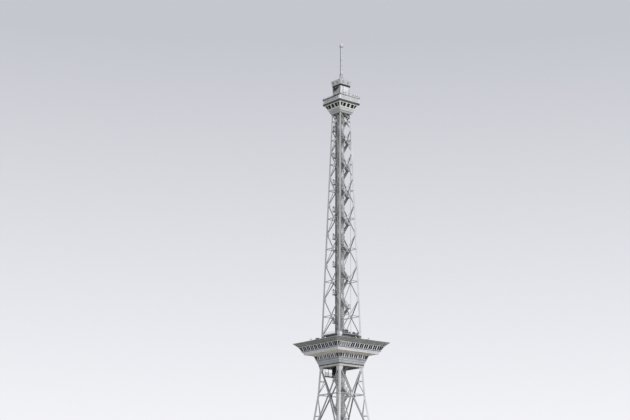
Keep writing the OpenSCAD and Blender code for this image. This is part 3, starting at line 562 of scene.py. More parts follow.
def gusset_plates():
    """Plates on the crossings of the bars and where bars end beside the legs."""
    build = Build()
    for z, size in CENTRE_PLATES:
        centre_plate(build, z, size)
    for z, size in LEG_PLATES:
        edge, near, far = leg_edge(z), size * 0.45, size * 0.75
        outline = [(edge + 0.001, -size), (edge - near, -far), (edge - far, 0), (edge - near, far),
                   (edge + 0.001, size)]
        for s in (-1, 1):
            build.loft(*[[face_point(s * min(x, leg_edge(z + dz)), z + dz, sink) for x, dz in outline][::s]
                         for sink in (LEG_T, LEG_T - GUSSET_T)])
    build.repeat()
    build.make("gusset_plates", "leg_steel")


def roof_node_plates():
    """Plates on the legs' outsides just above the restaurant's roof, white as a painted highlight there."""
    build, z = Build(), MAST_NODE_Z
    for s in (-1, 1):
        centre_plate(build, z, ROOF_NODE_PLATE, x=s * (leg_r(z) - 0.041), sink=0.0)
    build.repeat()
    build.make("roof_node_plates", "leg_steel", material="cabin_white")


RIVETS = 8
RIVET_START_SHARE = 0.4 * RIVETS / (2 * math.pi)


def gusset_rivets():
    """Two circles of rivets on each plate at a crossing, and two rows beside each leg."""
    build, sink = Build(), LEG_T - GUSSET_T
    for z, size in CENTRE_PLATES + [(BEND_Z, BEND_PLATE)]:
        for share in (0.35, 0.6):
            for x, dz in circle(RIVETS, share * size, RIVET_START_SHARE):
                build.rivet(face_point(x, z + dz, sink), face_normal(z))
    for z, size in LEG_PLATES:
        for s in (-1, 1):
            for k in spread(5, 0.3 * size):
                for inset, dz in ((0.18 * size, k), (0.40 * size, 0.7 * k)):
                    build.rivet(face_point(s * (leg_edge(z) - inset), z + dz, sink), face_normal(z))
    build.repeat()
    build.make("gusset_rivets", "leg_steel")


def bend_plates():
    """Bright plates where the bracing crosses at the bend, and one where it meets each leg."""
    bright, build, dark = Build(), Build(), Build()
    centre_plate(bright, BEND_Z, BEND_PLATE)
    bright.turn_on(1)
    bright.make("bend_plate_bright", "beam_white")
    centre_plate(build, BEND_Z, BEND_PLATE)
    build.repeat(sides=(2, 3))
    build.make("bend_plates", "lattice_steel")
    for s in (-1, 1):
        for z in (BEND_Z - 0.04, BEND_Z + 0.04):
            p, q = face_point(s * leg_edge(BEND_Z), z), face_point(s * leg_r(z) * 0.995, z)
            dark.beam(p, q, face_normal(z), 0.012, 0.004, sink=-0.004)
    dark.repeat()
    dark.make("bend_splice_angles", "stair_steel")


def corner_grating():
    """The service grating from the bend's crossing to the south-east leg: a knee bar and thin bars."""
    build, foot_z, depth, bars = Build(), BEND_Z - 0.25, LEG_T + BRACE_T, 15
    edge = -leg_edge(foot_z)
    foot, head = face_point(edge, foot_z, depth), face_point(0, BEND_Z, depth)
    build.beam(foot, head, SOUTH, 0.016, 0.016)
    for i in range(1, bars):
        p = foot.lerp(head, i / bars)
        build.beam(p, (p.x, head.y, BEND_Z), SOUTH, 0.007, 0.003)
    for k in (1, 2, 3):
        p = foot.lerp(head, k / 4)
        build.beam((edge, p.y, p.z), p, SOUTH, 0.005, 0.003, sink=0.003)
    build.turn_on(1)
    build.make("corner_grating", "stair_steel", material="lattice_steel")


def leg_rivets():
    """Two rows of rivets along each flange of the legs."""
    build = Build()
    for z in steps(FOOT_Z + 0.08, LOOKOUT_Z - 0.03, 0.074):
        if BEAM_Z < z < high("restaurant_roof").z:
            continue
        for s in (-1, 1):
            for share in (0.28, 0.74):
                build.rivet(face_point(s * (leg_r(z) - flange(z) * share), z), face_normal(z), 0.0032, 0.0018)
    build.repeat()
    build.make("leg_rivets", "leg_steel")


def leg_splice_plates():
    """Cover plates on the legs' joints, but for those inside the restaurant and at the bend."""
    build, half, pitch, first, thick = Build(), 0.055, 0.62, 0.9, 0.003
    for z in steps(first, LOOKOUT_Z - 0.3, pitch):
        if INSIDE_LOW_Z < z < INSIDE_HIGH_Z or abs(z - BEND_Z) < 0.12:
            continue
        a, b = leg_r(z) - flange(z) * 0.92, leg_r(z) - flange(z) * 0.08
        corners = ((a, -half), (b, -half), (b, half), (a, half))
        for s in (-1, 1):
            build.loft(*[[face_point(s * x, z + dz, sink) for x, dz in corners] for sink in (0, -thick)])
    build.repeat()
    build.make("leg_splice_plates", "leg_steel", bevel=0.001)


def leg_trunking():
    """Dark cable trunking up the inner half of the south-east leg's east flange, above the roof."""
    build, z0, z1 = Build(), high("roof_housing_slab").z + 0.02, LOOKOUT_Z - 0.02
    points = []
    for z in (z0, z1):
        x = -(leg_r(z) - flange(z) * 0.68)
        points.append((turned(face_point(x, z), 1), flange(z)))
    (p, wide), (q, _) = points
    build.beam(p, q, turned(SOUTH, 1), wide * 0.5, 0.006, sink=-0.0055)
    build.make("leg_trunking", "leg_steel", material="cable_black", bevel=0.0008)


def leg_battens():
    """Batten plates and lacing across the open inner side of each leg."""
    build, pitch = Build(), 0.155
    levels = [z for z in steps(FOOT_Z + 0.12, LOOKOUT_Z - 0.08, pitch) if not BEAM_Z < z + pitch < 5.95]

    def ends(z):
        r, f = leg_r(z), flange(z)
        return Vector((-r + f - 0.003, -r + LEG_T, z)), Vector((-r + LEG_T, -r + f - 0.003, z))

    for i, z in enumerate(levels):
        (p, q), (p2, q2) = ends(z), ends(z + pitch)
        build.beam(p, q, (1, 1, 0), 0.020, 0.003)
        build.beam(p if i % 2 else q, q2 if i % 2 else p2, (1, 1, 0), 0.007, 0.003)
    build.repeat()
    build.make("leg_battens", "leg_steel")


def at_feet(build):
    """Copies what is built about the mast's axis to the four feet."""
    verts, faces, build.verts, build.faces = build.verts, build.faces, [], []
    for sx, sy in CORNERS:
        build.add([(x + sx * FOOT_C, y + sy * FOOT_C, z) for x, y, z in verts], faces)


BLOCK_TOP_Z = high("foundation_blocks").z
SHEDS, SHED_R, NECK_R = 3, 0.052, 0.039
SHED_H = (FOOT_Z - BLOCK_TOP_Z) / SHEDS
# A shed's outline: shares of its height and of its way out from the neck
SHED_SHARES = ((0.16, 0.02), (0.30, 0.55), (0.42, 0.92), (0.54, 1.0), (0.66, 0.93), (0.80, 0.55),
               (0.94, 0.08))


def insulator_sheds():
    """Glazed stacks with rounded sheds, which stand for the plain ones."""
    build = Build()
    levels = [(0, NECK_R)]
    for i in range(SHEDS):
        levels += [((i + a) * SHED_H, NECK_R + (SHED_R - NECK_R) * b) for a, b in SHED_SHARES]
    levels.append((SHEDS * SHED_H, NECK_R))
    build.spool((0, 0, BLOCK_TOP_Z), UP, levels, 40)
    at_feet(build)
    build.make("insulator_sheds", "porcelain", smooth=True, stands_for=("foot_insulators",))


def foot_fittings():
    """Flange under each insulator with its nuts, nuts on the shoe, and stiffeners up the leg."""
    build, plates, shoe_top, nut_c = Build(), Build(), FOOT_Z + SHOE_T, 0.054
    build.spool((0, 0, BLOCK_TOP_Z), UP, ((0, 0.070), (0.003, 0.070), (0.0035, 0.068)), 40)
    for x, y in circle(8, 0.062, 0.5):
        build.nut((x, y, BLOCK_TOP_Z), 0.005, 0.008)
    for x, y in (*CORNERS, (0, -1), (1, 0), (0, 1), (-1, 0)):
        build.nut((x * nut_c, y * nut_c, shoe_top), 0.006, 0.007)
    at_feet(build)
    head, half = shoe_top + 0.06, 0.0025
    side = [(-leg_r(shoe_top), shoe_top), (-FOOT_C - 0.058, shoe_top), (-leg_r(head), head)]
    for s in (-1, 1):
        for share in (0.2, 0.8):
            x = s * (leg_r(shoe_top) - flange(shoe_top) * share)
            plates.loft(*[[(x + dx, y, z) for y, z in side] for dx in (-half, half)])
    plates.repeat()
    build.add(plates.verts, plates.faces)
    build.make("foot_fittings", "leg_steel", material="stair_steel")


def block_edges():
    """A chamfered kerb on the blocks and joint lines down their faces."""
    build, top, foot = Build(), 0.12, 0.148
    for x in (-0.05, 0.05):
        build.beam((x, -top, BLOCK_TOP_Z), (x, -foot, 0.006), (0, -1, 0.3), 0.004, 0.002, sink=-0.001)
    build.repeat()
    build.ring([(-0.010, 0), (0, 0), (-0.002, 0.003), (-0.010, 0.003)], top, BLOCK_TOP_Z)
    at_feet(build)
    build.make("block_edges", "concrete")


# Sizes of the lift shaft and the stair: the shaft stands in the south-west corner of the stair's well
PLATE_Z, STAIR_TOP_Z, SHAFT_TOP_Z = high("shaft_base_plate").z, high("stair_flights").z, high("shaft_posts").z
SHAFT_LOW, SHAFT_HIGH = low("shaft_posts").x, high("shaft_posts").x
SHAFT_C, SHAFT_R, WELL_R = (SHAFT_LOW + SHAFT_HIGH) / 2, (SHAFT_HIGH - SHAFT_LOW) / 2, -SHAFT_LOW
STAIR_R, FLIGHTS, RISERS, LANDING_T = high("stair_flights").x, 63, 11, 0.008
RISE = (STAIR_TOP_Z - PLATE_Z) / FLIGHTS
POST, TOP_RAIL, KNEE_RAIL, INNER_RAIL = 0.004, 0.112, 0.058, 0.10
SHEETS_Z, DOOR_HEAD_Z = PLATE_Z + 0.22, PLATE_Z + 0.21


def in_well_corner(build):
    """Moves what is built about the mast's axis to the shaft's axis."""
    build.verts = [(x + SHAFT_C, y + SHAFT_C, z) for x, y, z in build.verts]


def shaft_joint_strips():
    """Cover strips between the shaft's sheets, one at each landing and half way, and over its corners."""
    build, mid, height = Build(), (PLATE_Z + SHAFT_TOP_Z) / 2, SHAFT_TOP_Z - PLATE_Z - 0.01
    for i, z in enumerate(steps(PLATE_Z + RISE / 2, SHAFT_TOP_Z - 0.05, RISE / 2)):
        if z > SHEETS_Z:
            build.hoop(SHAFT_R + 0.002, z - 0.003, 0.002, 0.007 if i % 2 else 0.004)
    for sx, sy in CORNERS:
        build.block((sx * SHAFT_R, sy * SHAFT_R, mid), (0.004, 0.004, height))
    in_well_corner(build)
    build.make("shaft_joint_strips", "shaft_panel")


def shaft_guides():
    """A dark guide down the middle of each side of the shaft, with a pale conduit beside it."""
    dark, pale, x, r, head = Build(), Build(), 0.010, 0.003, SHAFT_TOP_Z - 0.01
    dark.plate(SHAFT_R, -r, r, SHEETS_Z, head, r)
    pale.tube((x, -SHAFT_R - r, SHEETS_Z), (x, -SHAFT_R - r, head), r)
    for build in (dark, pale):
        build.repeat()
        in_well_corner(build)
    dark.make("shaft_guides", "shaft_panel", material="cable_black")
    pale.make("shaft_conduits", "antenna_grey", smooth=True)


def shaft_side_sheets():
    """Darker sheets on the east and north sides of the shaft, one for each half storey: painted shade of those
    sides.
    """
    build, half, gap, joint = Build(), SHAFT_R - 0.010, 0.005, 0.004
    for z in steps(PLATE_Z + RISE * 1.25, SHAFT_TOP_Z - RISE / 2, RISE / 2):
        for x0, x1 in ((-half, -gap), (gap, half)):
            build.plate(SHAFT_R, x0, x1, z + joint, z + RISE / 2 - joint, 0.0015, 0.001)
    build.turn_on(1)
    build.repeat(sides=(1,))
    in_well_corner(build)
    build.make("shaft_side_sheets", "shaft_panel", material="sheet_dark")


def shaft_door_trim():
    """Lintel, threshold and stop bars round the shaft's doorway."""
    build, r, lap = Build(), 0.048, 0.008
    build.plate(SHAFT_R, -r - lap, r + lap, DOOR_HEAD_Z - lap / 2, DOOR_HEAD_Z + lap, 0.0035, 0.001)
    build.plate(SHAFT_R, -r, r, PLATE_Z, PLATE_Z + 0.002, 0.004, 0.004)
    for x in (-r, r):
        build.plate(SHAFT_R, x - lap / 2, x + lap / 2, PLATE_Z, DOOR_HEAD_Z, 0.003)
    in_well_corner(build)
    build.make("shaft_door_trim", "shaft_panel", material="stair_steel", bevel=0.0006)


def base_plate_kerb():
    """The steel kerb of the plate under the shaft, and the nuts on it."""
    build, r, t = Build(), high("shaft_base_plate").x, 0.003
    build.ring([(-0.012, 0), (0, -t), (0, 0), (-t, t), (-0.012, t)], r, PLATE_Z)
    for i in range(4):
        for x in spread(4, 0.1):
            build.nut(turned((x, -r + 0.006, PLATE_Z + t), i), 0.005, 0.004)
    build.make("base_plate_kerb", "concrete", material="stair_steel")


def flight_ends(k):
    """Heights of the foot and the head of flight k."""
    return PLATE_Z + k * RISE, PLATE_Z + (k + 1) * RISE


def on_flight(build, k, p, q, wide, deep, normal=(1, 0, 0)):
    """A bar of flight k, given as if the flight were the first one, on the west side."""
    build.beam(turned(p, -k), turned(q, -k), turned(normal, -k), wide, deep)


def stair_railings():
    """Handrail, knee rail and posts along the outer edge of each flight and round each landing."""
    build, e, mid = Build(), STAIR_R - POST, (STAIR_R - POST + WELL_R) / 2
    for k in range(FLIGHTS):
        z0, z1 = flight_ends(k)
        for h, wide in ((TOP_RAIL, POST * 1.4), (KNEE_RAIL, POST * 0.8)):
            on_flight(build, k, (-e, -WELL_R, z0 + h), (-e, WELL_R, z1 + h), wide, wide)
            if k < FLIGHTS - 1:
                on_flight(build, k, (-e, WELL_R, z1 + h), (-e, e, z1 + h), wide, wide)
                on_flight(build, k, (-e, e, z1 + h), (-WELL_R, e, z1 + h), wide, wide, SOUTH)
        for t in (0, 0.25, 0.5, 0.75, 1):
            y, z = -WELL_R + 2 * WELL_R * t, z0 + RISE * t
            on_flight(build, k, (-e, y, z), (-e, y, z + TOP_RAIL), POST, POST)
        if k < FLIGHTS - 1:
            for x, y in ((-e, e), (-e, mid), (-mid, e)):
                on_flight(build, k, (x, y, z1), (x, y, z1 + TOP_RAIL), POST, POST)
    build.make("stair_railings", "stair_steel")


def stair_inner_rails():
    """Inner handrail of the north and east flights, where the well is open beside the shaft."""
    build, e = Build(), WELL_R + 0.004
    for k in range(FLIGHTS):
        if k % 4 in (1, 2):
            z0, z1 = flight_ends(k)
            on_flight(build, k, (-e, -WELL_R, z0 + INNER_RAIL), (-e, WELL_R, z1 + INNER_RAIL), POST, POST)
            for t in (0.02, 0.5, 0.98):
                y, z = -WELL_R + 2 * WELL_R * t, z0 + RISE * t
                on_flight(build, k, (-e, y, z), (-e, y, z + INNER_RAIL), POST * 0.8, POST * 0.8)
    build.make("stair_inner_rails", "stair_steel")


def stair_stringers():
    """Strings along both edges of each flight, and the edge angle with its rib round each landing."""
    build, e = Build(), STAIR_R + 0.001
    for k in range(FLIGHTS):
        z0, z1 = flight_ends(k)
        for x in (-e, -WELL_R - 0.002):
            side = [(-WELL_R, max(z0 - 0.012, PLATE_Z)), (WELL_R, z1 - 0.030), (WELL_R, z1 + 0.006),
                    (-WELL_R, z0 + 0.022)]
            build.loft(*[[turned((x + dx, y, z), -k) for y, z in side] for dx in (0, 0.003)])
        if k < FLIGHTS - 1:
            z = z1 - LANDING_T
            on_flight(build, k, (-e, WELL_R, z), (-e, e, z), 0.018, 0.003)
            on_flight(build, k, (-e, e, z), (-WELL_R, e, z), 0.018, 0.003, SOUTH)
            mid = (WELL_R + e) / 2
            on_flight(build, k, (-mid, WELL_R, z), (-mid, e, z), 0.010, 0.003)
            on_flight(build, k, (-e, mid, z), (-WELL_R, mid, z), 0.010, 0.003, SOUTH)
    build.make("stair_stringers", "stair_steel")


def stair_nosings():
    """A worn nosing on the edge of each tread."""
    build, going, riser, inset = Build(), 2 * WELL_R / RISERS, RISE / RISERS, 0.004
    for k in range(FLIGHTS):
        for i in range(RISERS):
            y, z = -WELL_R + i * going, PLATE_Z + k * RISE + (i + 1) * riser
            p, q = (-STAIR_R + inset, y, z), (-WELL_R - inset, y, z)
            on_flight(build, k, p, q, 0.004, 0.0015, (0, -0.3, 1))
    build.make("stair_nosings", "stair_steel", material="leg_steel")


def landing_lamps():
    """A hooded floodlight in the outer corner of each south-west landing."""
    build, lens, at, lens_at = Build(), Build(), -0.154, -0.1675
    for k in range(4, FLIGHTS, 4):
        z = PLATE_Z + k * RISE
        if BEAM_Z - 0.25 < z < high("restaurant_roof").z:
            continue
        build.tube((at, at, z), (at, at, z + 0.114), 0.003, 6)
        build.block((at, at, z + 0.119), (0.018, 0.018, 0.010), 1.3)
        build.block((at, at, z + 0.136), (0.028, 0.028, 0.024), 0.9)
        build.block((at, at, z + 0.150), (0.032, 0.032, 0.004), 0.6)
        lens.block((lens_at, lens_at, z + 0.135), (0.012, 0.012, 0.015), 0.9)
    build.make("landing_lamps", "fitting_grey", material="stair_steel", bevel=0.001)
    lens.make("landing_lamp_lenses", "fitting_grey", material="lamp_lens", bevel=0.001)


def riser_cables():
    """The bundle of cables strapped to the riser, from the housing's roof to the lookout."""
    build, box = Build(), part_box("cable_riser")
    y = box[0].y
    for i, x in enumerate(steps(box[0].x + 0.006, box[1].x - 0.004, 0.0088)):
        build.tube((x, y - 0.001, box[0].z), (x, y - 0.001, LOOKOUT_Z + 0.02), 0.0030 + 0.0012 * (i % 2), 8)
    build.make("riser_cables", "stair_steel", material="cable_black", smooth=True)
    straps = Build()
    for z in steps(box[0].z + 0.06, LOOKOUT_Z - 0.05, STOREY):
        straps.box((box[0].x, y - 0.0065, z), (box[1].x, y - 0.0048, z + 0.008))
    straps.make("riser_straps", "stair_steel")


def corner_conduit():
    """A thin conduit outside the stair's north-east corner, held at each landing."""
    build, at, foot = Build(), STAIR_R + 0.0075, high("roof_housing_slab").z
    build.tube((at, at, foot), (at, at, LOOKOUT_Z + 0.02), 0.004, 8)
    for k in range(2, FLIGHTS - 1, 4):
        z = PLATE_Z + k * RISE - 0.004
        if z > foot:
            build.beam((STAIR_R - 0.004, STAIR_R - 0.004, z), (at, at, z), UP, 0.006, 0.004)
    build.make("corner_conduit", "antenna_grey", material="lattice_steel")


TOWER_PIECES = (leg_trunking, brace_flanges, gusset_plates, roof_node_plates, gusset_rivets, bend_plates,
                corner_grating, leg_rivets, leg_splice_plates, leg_battens, insulator_sheds, foot_fittings,
                block_edges, shaft_joint_strips, shaft_guides, shaft_side_sheets, shaft_door_trim,
                base_plate_kerb, stair_railings, stair_inner_rails, stair_stringers, stair_nosings,
                landing_lamps, riser_cables, corner_conduit)
for piece in TOWER_PIECES:
    piece()


# Sizes of the restaurant: leaning walls, soffits, roof
FLOOR_Z, WALL_Z = low("restaurant_floor").z, low("restaurant_walls").z
LOWER_HEAD_Z = high("restaurant_walls").z
PROM_Z, PROM_HEAD_Z, PROM_EDGE_T = low("promenade_walls").z, high("promenade_walls").z, 0.008
EAVE_Z, EAVE_R, ROOF_EDGE_T = high("eave_soffit").z, high("eave_soffit").x, 0.009
ROOF_TOP, FLAT_R, EDGE_TOP = high("roof_middle").z, high("roof_middle").x, EAVE_Z + ROOF_EDGE_T
lower = Lean(WALL_Z, high("restaurant_floor").x, LOWER_HEAD_Z, high("restaurant_walls").x)
soffit = Lean(LOWER_HEAD_Z, lower.r1, PROM_Z - PROM_EDGE_T, high("promenade_floor").x)
upper = Lean(PROM_Z, soffit.r1, PROM_HEAD_Z, high("promenade_walls").x)
eave = Lean(PROM_HEAD_Z, upper.r1, EAVE_Z, EAVE_R)
CORNER_W = 0.026
LOWER_SILL, LOWER_HEAD, UPPER_SILL, UPPER_HEAD = 5.304, 5.388, 5.538, 5.638
PANEL, FRAME_W, FRAME_BACK = 0.0741, 0.003, -0.006


def windows(lean, count, wide, sill, head, shift):
    """The openings of a row of windows: [middle, width, sill, head]; the shift draws them into pairs."""
    places = spread(count, 2 * (lean.r(sill) - CORNER_W) / count)
    return [(x + (-shift if i % 2 else shift), wide, sill, head) for i, x in enumerate(places)]


lower_rows = windows(lower, 12, 0.050, LOWER_SILL, LOWER_HEAD, 0.006)
upper_rows = windows(upper, 19, 0.056, UPPER_SILL, UPPER_HEAD, 0.0)


def frames(build, lean, rows, bar, out=0.002):
    """Frames of this bar's width round the openings, mostly inside them."""
    lap, inner = bar * 0.3, bar * 0.7
    for x, w, z0, z1 in rows:
        a, b = x - w / 2, x + w / 2
        for x0, x1, foot, head in ((a - lap, a + inner, z0, z1), (b - inner, b + lap, z0, z1),
                                   (a, b, z0 - lap, z0 + inner), (a, b, z1 - inner, z1 + lap)):
            lean.slab(build, x0, x1, foot, head, FRAME_BACK, out)


def window_frames():
    """Thin dark frames of both window rows."""
    for lean, rows, name, slot in ((lower, lower_rows, "restaurant_window_frames", "beam_white"),
                                   (upper, upper_rows, "promenade_window_frames", "cream")):
        build = Build()
        frames(build, lean, rows, FRAME_W)
        build.repeat()
        build.make(name, slot, material="fitting_grey")


def mullions(lean, rows, spares, name, slot, material):
    """Pale covers on the posts between the windows, wider than each gap by the spare widths in turn."""
    build = Build()
    for i, ((xa, w, sill, head), (xb, *_)) in enumerate(zip(rows, rows[1:])):
        middle, half = (xa + xb) / 2, (xb - xa - w + spares[i % len(spares)]) / 2
        lean.slab(build, middle - half, middle + half, sill - 0.002, head + 0.002, 0.0, 0.0035)
    build.repeat()
    build.make(name, slot, material=material)


def window_mullions():
    """The covers of both window rows."""
    mullions(lower, lower_rows, (0.007,), "restaurant_mullions", "skirt_grey", "cabin_white")
    mullions(upper, upper_rows, (0.011, -0.009), "promenade_mullions", "parapet_grey", "cabin_white")


def dark_panes():
    """Near-black opaque panes over both window rows, with the slanted ones at the corners: painted shade of
    the unlit inside seen through the glass.
    """
    build, back, inset, corner = Build(), -0.0005, 0.001, 0.015
    for lean, rows in ((lower, lower_rows), (upper, upper_rows)):
        for x, w, sill, head in rows:
            half = w / 2 - inset
            lean.slab(build, x - half, x + half, sill + inset, head - inset, back, 0.0006)
        edge, low_end, high_end = x + w / 2 + 0.012, lean.r(sill) - corner, lean.r(head) - corner
        corners = [(edge, sill), (low_end, sill), (high_end, head), (edge, head)]
        for s in (-1, 1):
            build.loft(*[[lean.at(s * x, z, out) for x, z in corners] for out in (back, 0.0014)])
    for (xa, w, sill, head), (xb, *_) in list(zip(upper_rows, upper_rows[1:]))[1::2]:
        a, b = xa + w / 2 - 0.002, xb - w / 2 + 0.002
        upper.slab(build, a, b, sill + inset, head - inset, back, 0.0012)
    build.repeat()
    build.make("dark_panes", "window_glass", material="pane_dark")


def window_sills():
    """A sloping sill under each row of windows, with a near-black band under it as the sill's painted shadow,
    and drips over the heads.
    """
    build, dark = Build(), Build()
    for lean, z, foot, head, out in (
            (lower, LOWER_SILL, -0.012, -0.003, 0.010), (upper, UPPER_SILL, -0.011, -0.003, 0.013),
            (lower, LOWER_HEAD, 0.003, 0.007, 0.005), (upper, UPPER_HEAD, 0.003, 0.007, 0.005),
            (lower, WALL_Z, 0.002, 0.010, 0.008), (upper, PROM_Z, 0.001, 0.007, 0.005)):
        build.band(lean, z + foot, z + head, out)
    build.make("restaurant_sill_bands", "parapet_grey", bevel=0.001)
    # Near-black bands just under the sills: painted shadow of the sills
    dark.band(upper, UPPER_SILL - 0.026, UPPER_SILL - 0.0115, 0.004)
    dark.band(lower, LOWER_SILL - 0.019, LOWER_SILL - 0.0125, 0.004)
    dark.make("restaurant_sill_shadows", "fitting_grey")


def blinds():
    """Drawn outside blinds on the east side's first windows, each with its bars at foot and head."""
    build, bars, drops = Build(), Build(), (0.078, 0.084, 0.070, 0.082, 0.060)
    for drop, (x, w, _, head) in zip(drops, upper_rows):
        half, foot = w / 2 + 0.005, head - drop
        upper.slab(build, x - half + 0.001, x + half - 0.001, foot, head + 0.001, 0.0025, 0.0045)
        upper.slab(bars, x - half, x + half, foot - 0.003, foot + 0.001, 0.002, 0.006)
        upper.slab(bars, x - half, x + half, head - 0.002, head + 0.006, 0.002, 0.009)
    for b in (build, bars):
        b.turn_on(1)
    build.make("promenade_blinds", "cream", material="blind_cloth")
    bars.make("promenade_blind_bars", "parapet_grey")


def skirt_ribs():
    """Ribs of the lower wall under its windows, and two bands over them."""
    build = Build()
    for x in spread(23, 0.038):
        lower.rib(build, x, 0.003, WALL_Z + 0.011, LOWER_SILL - 0.02, 0.003, 0.02)
    build.repeat()
    for z in (WALL_Z + 0.052, WALL_Z + 0.096):
        build.band(lower, z, z + 0.006, 0.004)
    build.make("restaurant_skirt_ribs", "skirt_grey")


def skirt_battens():
    """Lighter battens between the ribs of the skirt."""
    build = Build()
    for z in (WALL_Z + 0.030, WALL_Z + 0.076):
        build.band(lower, z, z + 0.012, 0.0025)
    build.make("restaurant_skirt_battens", "parapet_grey")


def parapet_ribs():
    """Ribs of the upper wall under its windows, with a rivet on both sides of each at foot and head."""
    build = Build()
    for x in spread(19, PANEL):
        upper.slab(build, x - 0.0015, x + 0.0015, PROM_Z + 0.008, UPPER_SILL - 0.027, 0, 0.003)
        for z in (PROM_Z + 0.016, UPPER_SILL - 0.034):
            for dx in (-0.008, 0.008):
                build.rivet(upper.at(x + dx, z), (0, -1, -0.5), 0.002, 0.0015)
    build.repeat()
    build.make("promenade_parapet_ribs", "parapet_grey")


def overhang_battens():
    """Battens under the wide overhang, with bands at its edge, its wall and between them."""
    build, mid = Build(), (soffit.z0 + soffit.z1) / 2
    for x in spread(37, 0.0375):
        soffit.rib(build, x, 0.004, soffit.z0 + 0.001, soffit.z1 - 0.001, 0.003, 0.01)
    build.repeat()
    build.band(soffit, soffit.z1 - 0.011, soffit.z1 - 0.0005, 0.004)
    build.band(soffit, soffit.z0 + 0.0015, soffit.z0 + 0.006, 0.004)
    build.band(soffit, mid, mid + 0.004, 0.005)
    build.make("overhang_battens", "floor_board")


def eave_ribs():
    """Fine slats of the sloping soffit, three bands across them, and a row of dark vents."""
    build, vents = Build(), Build()
    for i, x in enumerate(spread(99, PANEL / 4)):
        eave.rib(build, x, 0.003 if i % 4 == 1 else 0.0018, EAVE_Z - 0.088, EAVE_Z - 0.003, 0.004, 0.006)
    build.repeat()
    for z in (PROM_HEAD_Z + 0.002, PROM_HEAD_Z + 0.030, PROM_HEAD_Z + 0.058):
        build.band(eave, z, z + 0.004, 0.006)
    build.make("eave_soffit_ribs", "eave_grey")
    for x in spread(23, PANEL):
        mid = x + PANEL / 4
        if abs(x) < upper.r1 - 0.02:
            for z in (PROM_HEAD_Z + 0.010, PROM_HEAD_Z + 0.038, PROM_HEAD_Z + 0.066):
                eave.slab(vents, mid - 0.005, mid + 0.005, z, z + 0.012, 0, 0.0045)
    vents.repeat()
    vents.make("eave_vents", "fitting_grey")


def eave_gutter():
    """The gutter along the eave and its brackets."""
    build, z = Build(), EAVE_Z
    for x in spread(17, 0.11):
        p, q = (x, -EAVE_R - 0.0105, z + 0.010), (x, -EAVE_R - 0.0085, z - 0.002)
        build.beam(p, q, SOUTH, 0.005, 0.002)
    build.repeat()
    build.ring([(-0.005, 0.002), (0.008, -0.002), (0.010, 0.011), (0.006, 0.011), (0.004, 0.004),
                (-0.005, 0.0075)], EAVE_R, z)
    build.make("eave_gutter", "roof_grey")


def roof_z(r):
    """The roof's height at this distance from the axis."""
    return EDGE_TOP + (ROOF_TOP - EDGE_TOP) * (EAVE_R - r) / (EAVE_R - FLAT_R)


def roof_seams():
    """Standing seams, caps on the hips, and the kerb round the flat middle."""
    build, edge = Build(), EAVE_R - 0.004
    for x in spread(23, 0.08):
        inner = max(FLAT_R, abs(x) + 0.004)
        build.beam((x, -edge, roof_z(edge)), (x, -inner, roof_z(inner)), UP, 0.003, 0.006, sink=-0.006)
    build.repeat()
    for sx, sy in CORNERS:
        p, q = (sx * edge, sy * edge, roof_z(edge)), (sx * FLAT_R, sy * FLAT_R, ROOF_TOP)
        build.beam(p, q, UP, 0.022, 0.007, sink=-0.006)
    build.ring([(-0.006, -0.001), (0.006, -0.002), (0.004, 0.006), (-0.006, 0.006)], FLAT_R, ROOF_TOP)
    build.make("roof_seams", "roof_grey")


def roof_leg_collars():
    """Flashing where the legs pass through the roof."""
    build, z_mid = Build(), ROOF_TOP + 0.026
    c, h = node_x(z_mid), flange(z_mid) / 2 + 0.012
    for sx, sy in CORNERS:
        loops = []
        for z, half in ((ROOF_TOP, h + 0.012), (ROOF_TOP + 0.010, h + 0.010), (ROOF_TOP + 0.05, h)):
            loops.append([(sx * c + a * half, sy * c + b * half, z) for a, b in CORNERS])
        build.loft(*loops)
    build.make("roof_leg_collars", "cream", bevel=0.002)


def housing_details():
    """Ribbed sheets, louvres, a door and a drip on the machine house."""
    build, dark = Build(), Build()
    r, z0, z1 = high("roof_housing").x, low("roof_housing").z, high("roof_housing").z
    for x in spread(15, 0.038):
        build.plate(r, x - 0.0015, x + 0.0015, z0 + 0.006, z1, 0.003)
    build.repeat()
    build.hoop(r + 0.006, z0, 0.006, 0.008)
    build.hoop(r + 0.005, z1 - 0.008, 0.005, 0.007)
    build.make("housing_ribs", "skirt_grey")
    for i in range(4):
        for x in (-0.19, 0.19) if i % 2 == 0 else (0.15,):
            for z in steps(z0 + 0.045, z1 - 0.03, 0.012):
                p, q = turned((x - 0.045, -r - 0.0035, z), i), turned((x + 0.045, -r - 0.0035, z), i)
                dark.beam(p, q, turned((0, -1, 0.5), i), 0.010, 0.002)
    for z in (z0 + 0.006, z1 - 0.022):
        dark.box((r, -0.15, z), (r + 0.004, -0.07, z + 0.004))
    for y in (-0.15, -0.074):
        dark.box((r, y, z0 + 0.006), (r + 0.004, y + 0.004, z1 - 0.018))
    dark.box((r, -0.084, z0 + 0.06), (r + 0.008, -0.080, z0 + 0.072))
    dark.make("housing_louvres", "roof_grey", material="stair_steel")


WALK_R, WALK_END = 0.378, 0.325
REEL = ((0, 0.046), (0.008, 0.046), (0.010, 0.030), (0.052, 0.030), (0.054, 0.046), (0.062, 0.046))


def housing_walkway():
    """A narrow walkway round the machine house at its roof's level, on raking brackets, open at the legs."""
    build, inner, z1 = Build(), high("roof_housing_slab").x, high("roof_housing_slab").z
    wall, z0 = high("roof_housing").x, z1 - 0.014
    build.box((-WALK_END, -WALK_R, z0), (WALK_END, -inner + 0.001, z1 - 0.003))
    build.plate(WALK_R, -WALK_END, WALK_END, z0 - 0.010, z1 + 0.004, 0.003)
    for x in spread(9, 0.078):
        build.beam((x, -wall, z0 - 0.075), (x, -WALK_R + 0.002, z0), (0, -1, -1), 0.006, 0.006)
        build.box((x - 0.003, -WALK_R, z0 - 0.009), (x + 0.003, -inner, z0))
    build.repeat()
    build.make("housing_walkway", "roof_grey", material="sheet_dark")


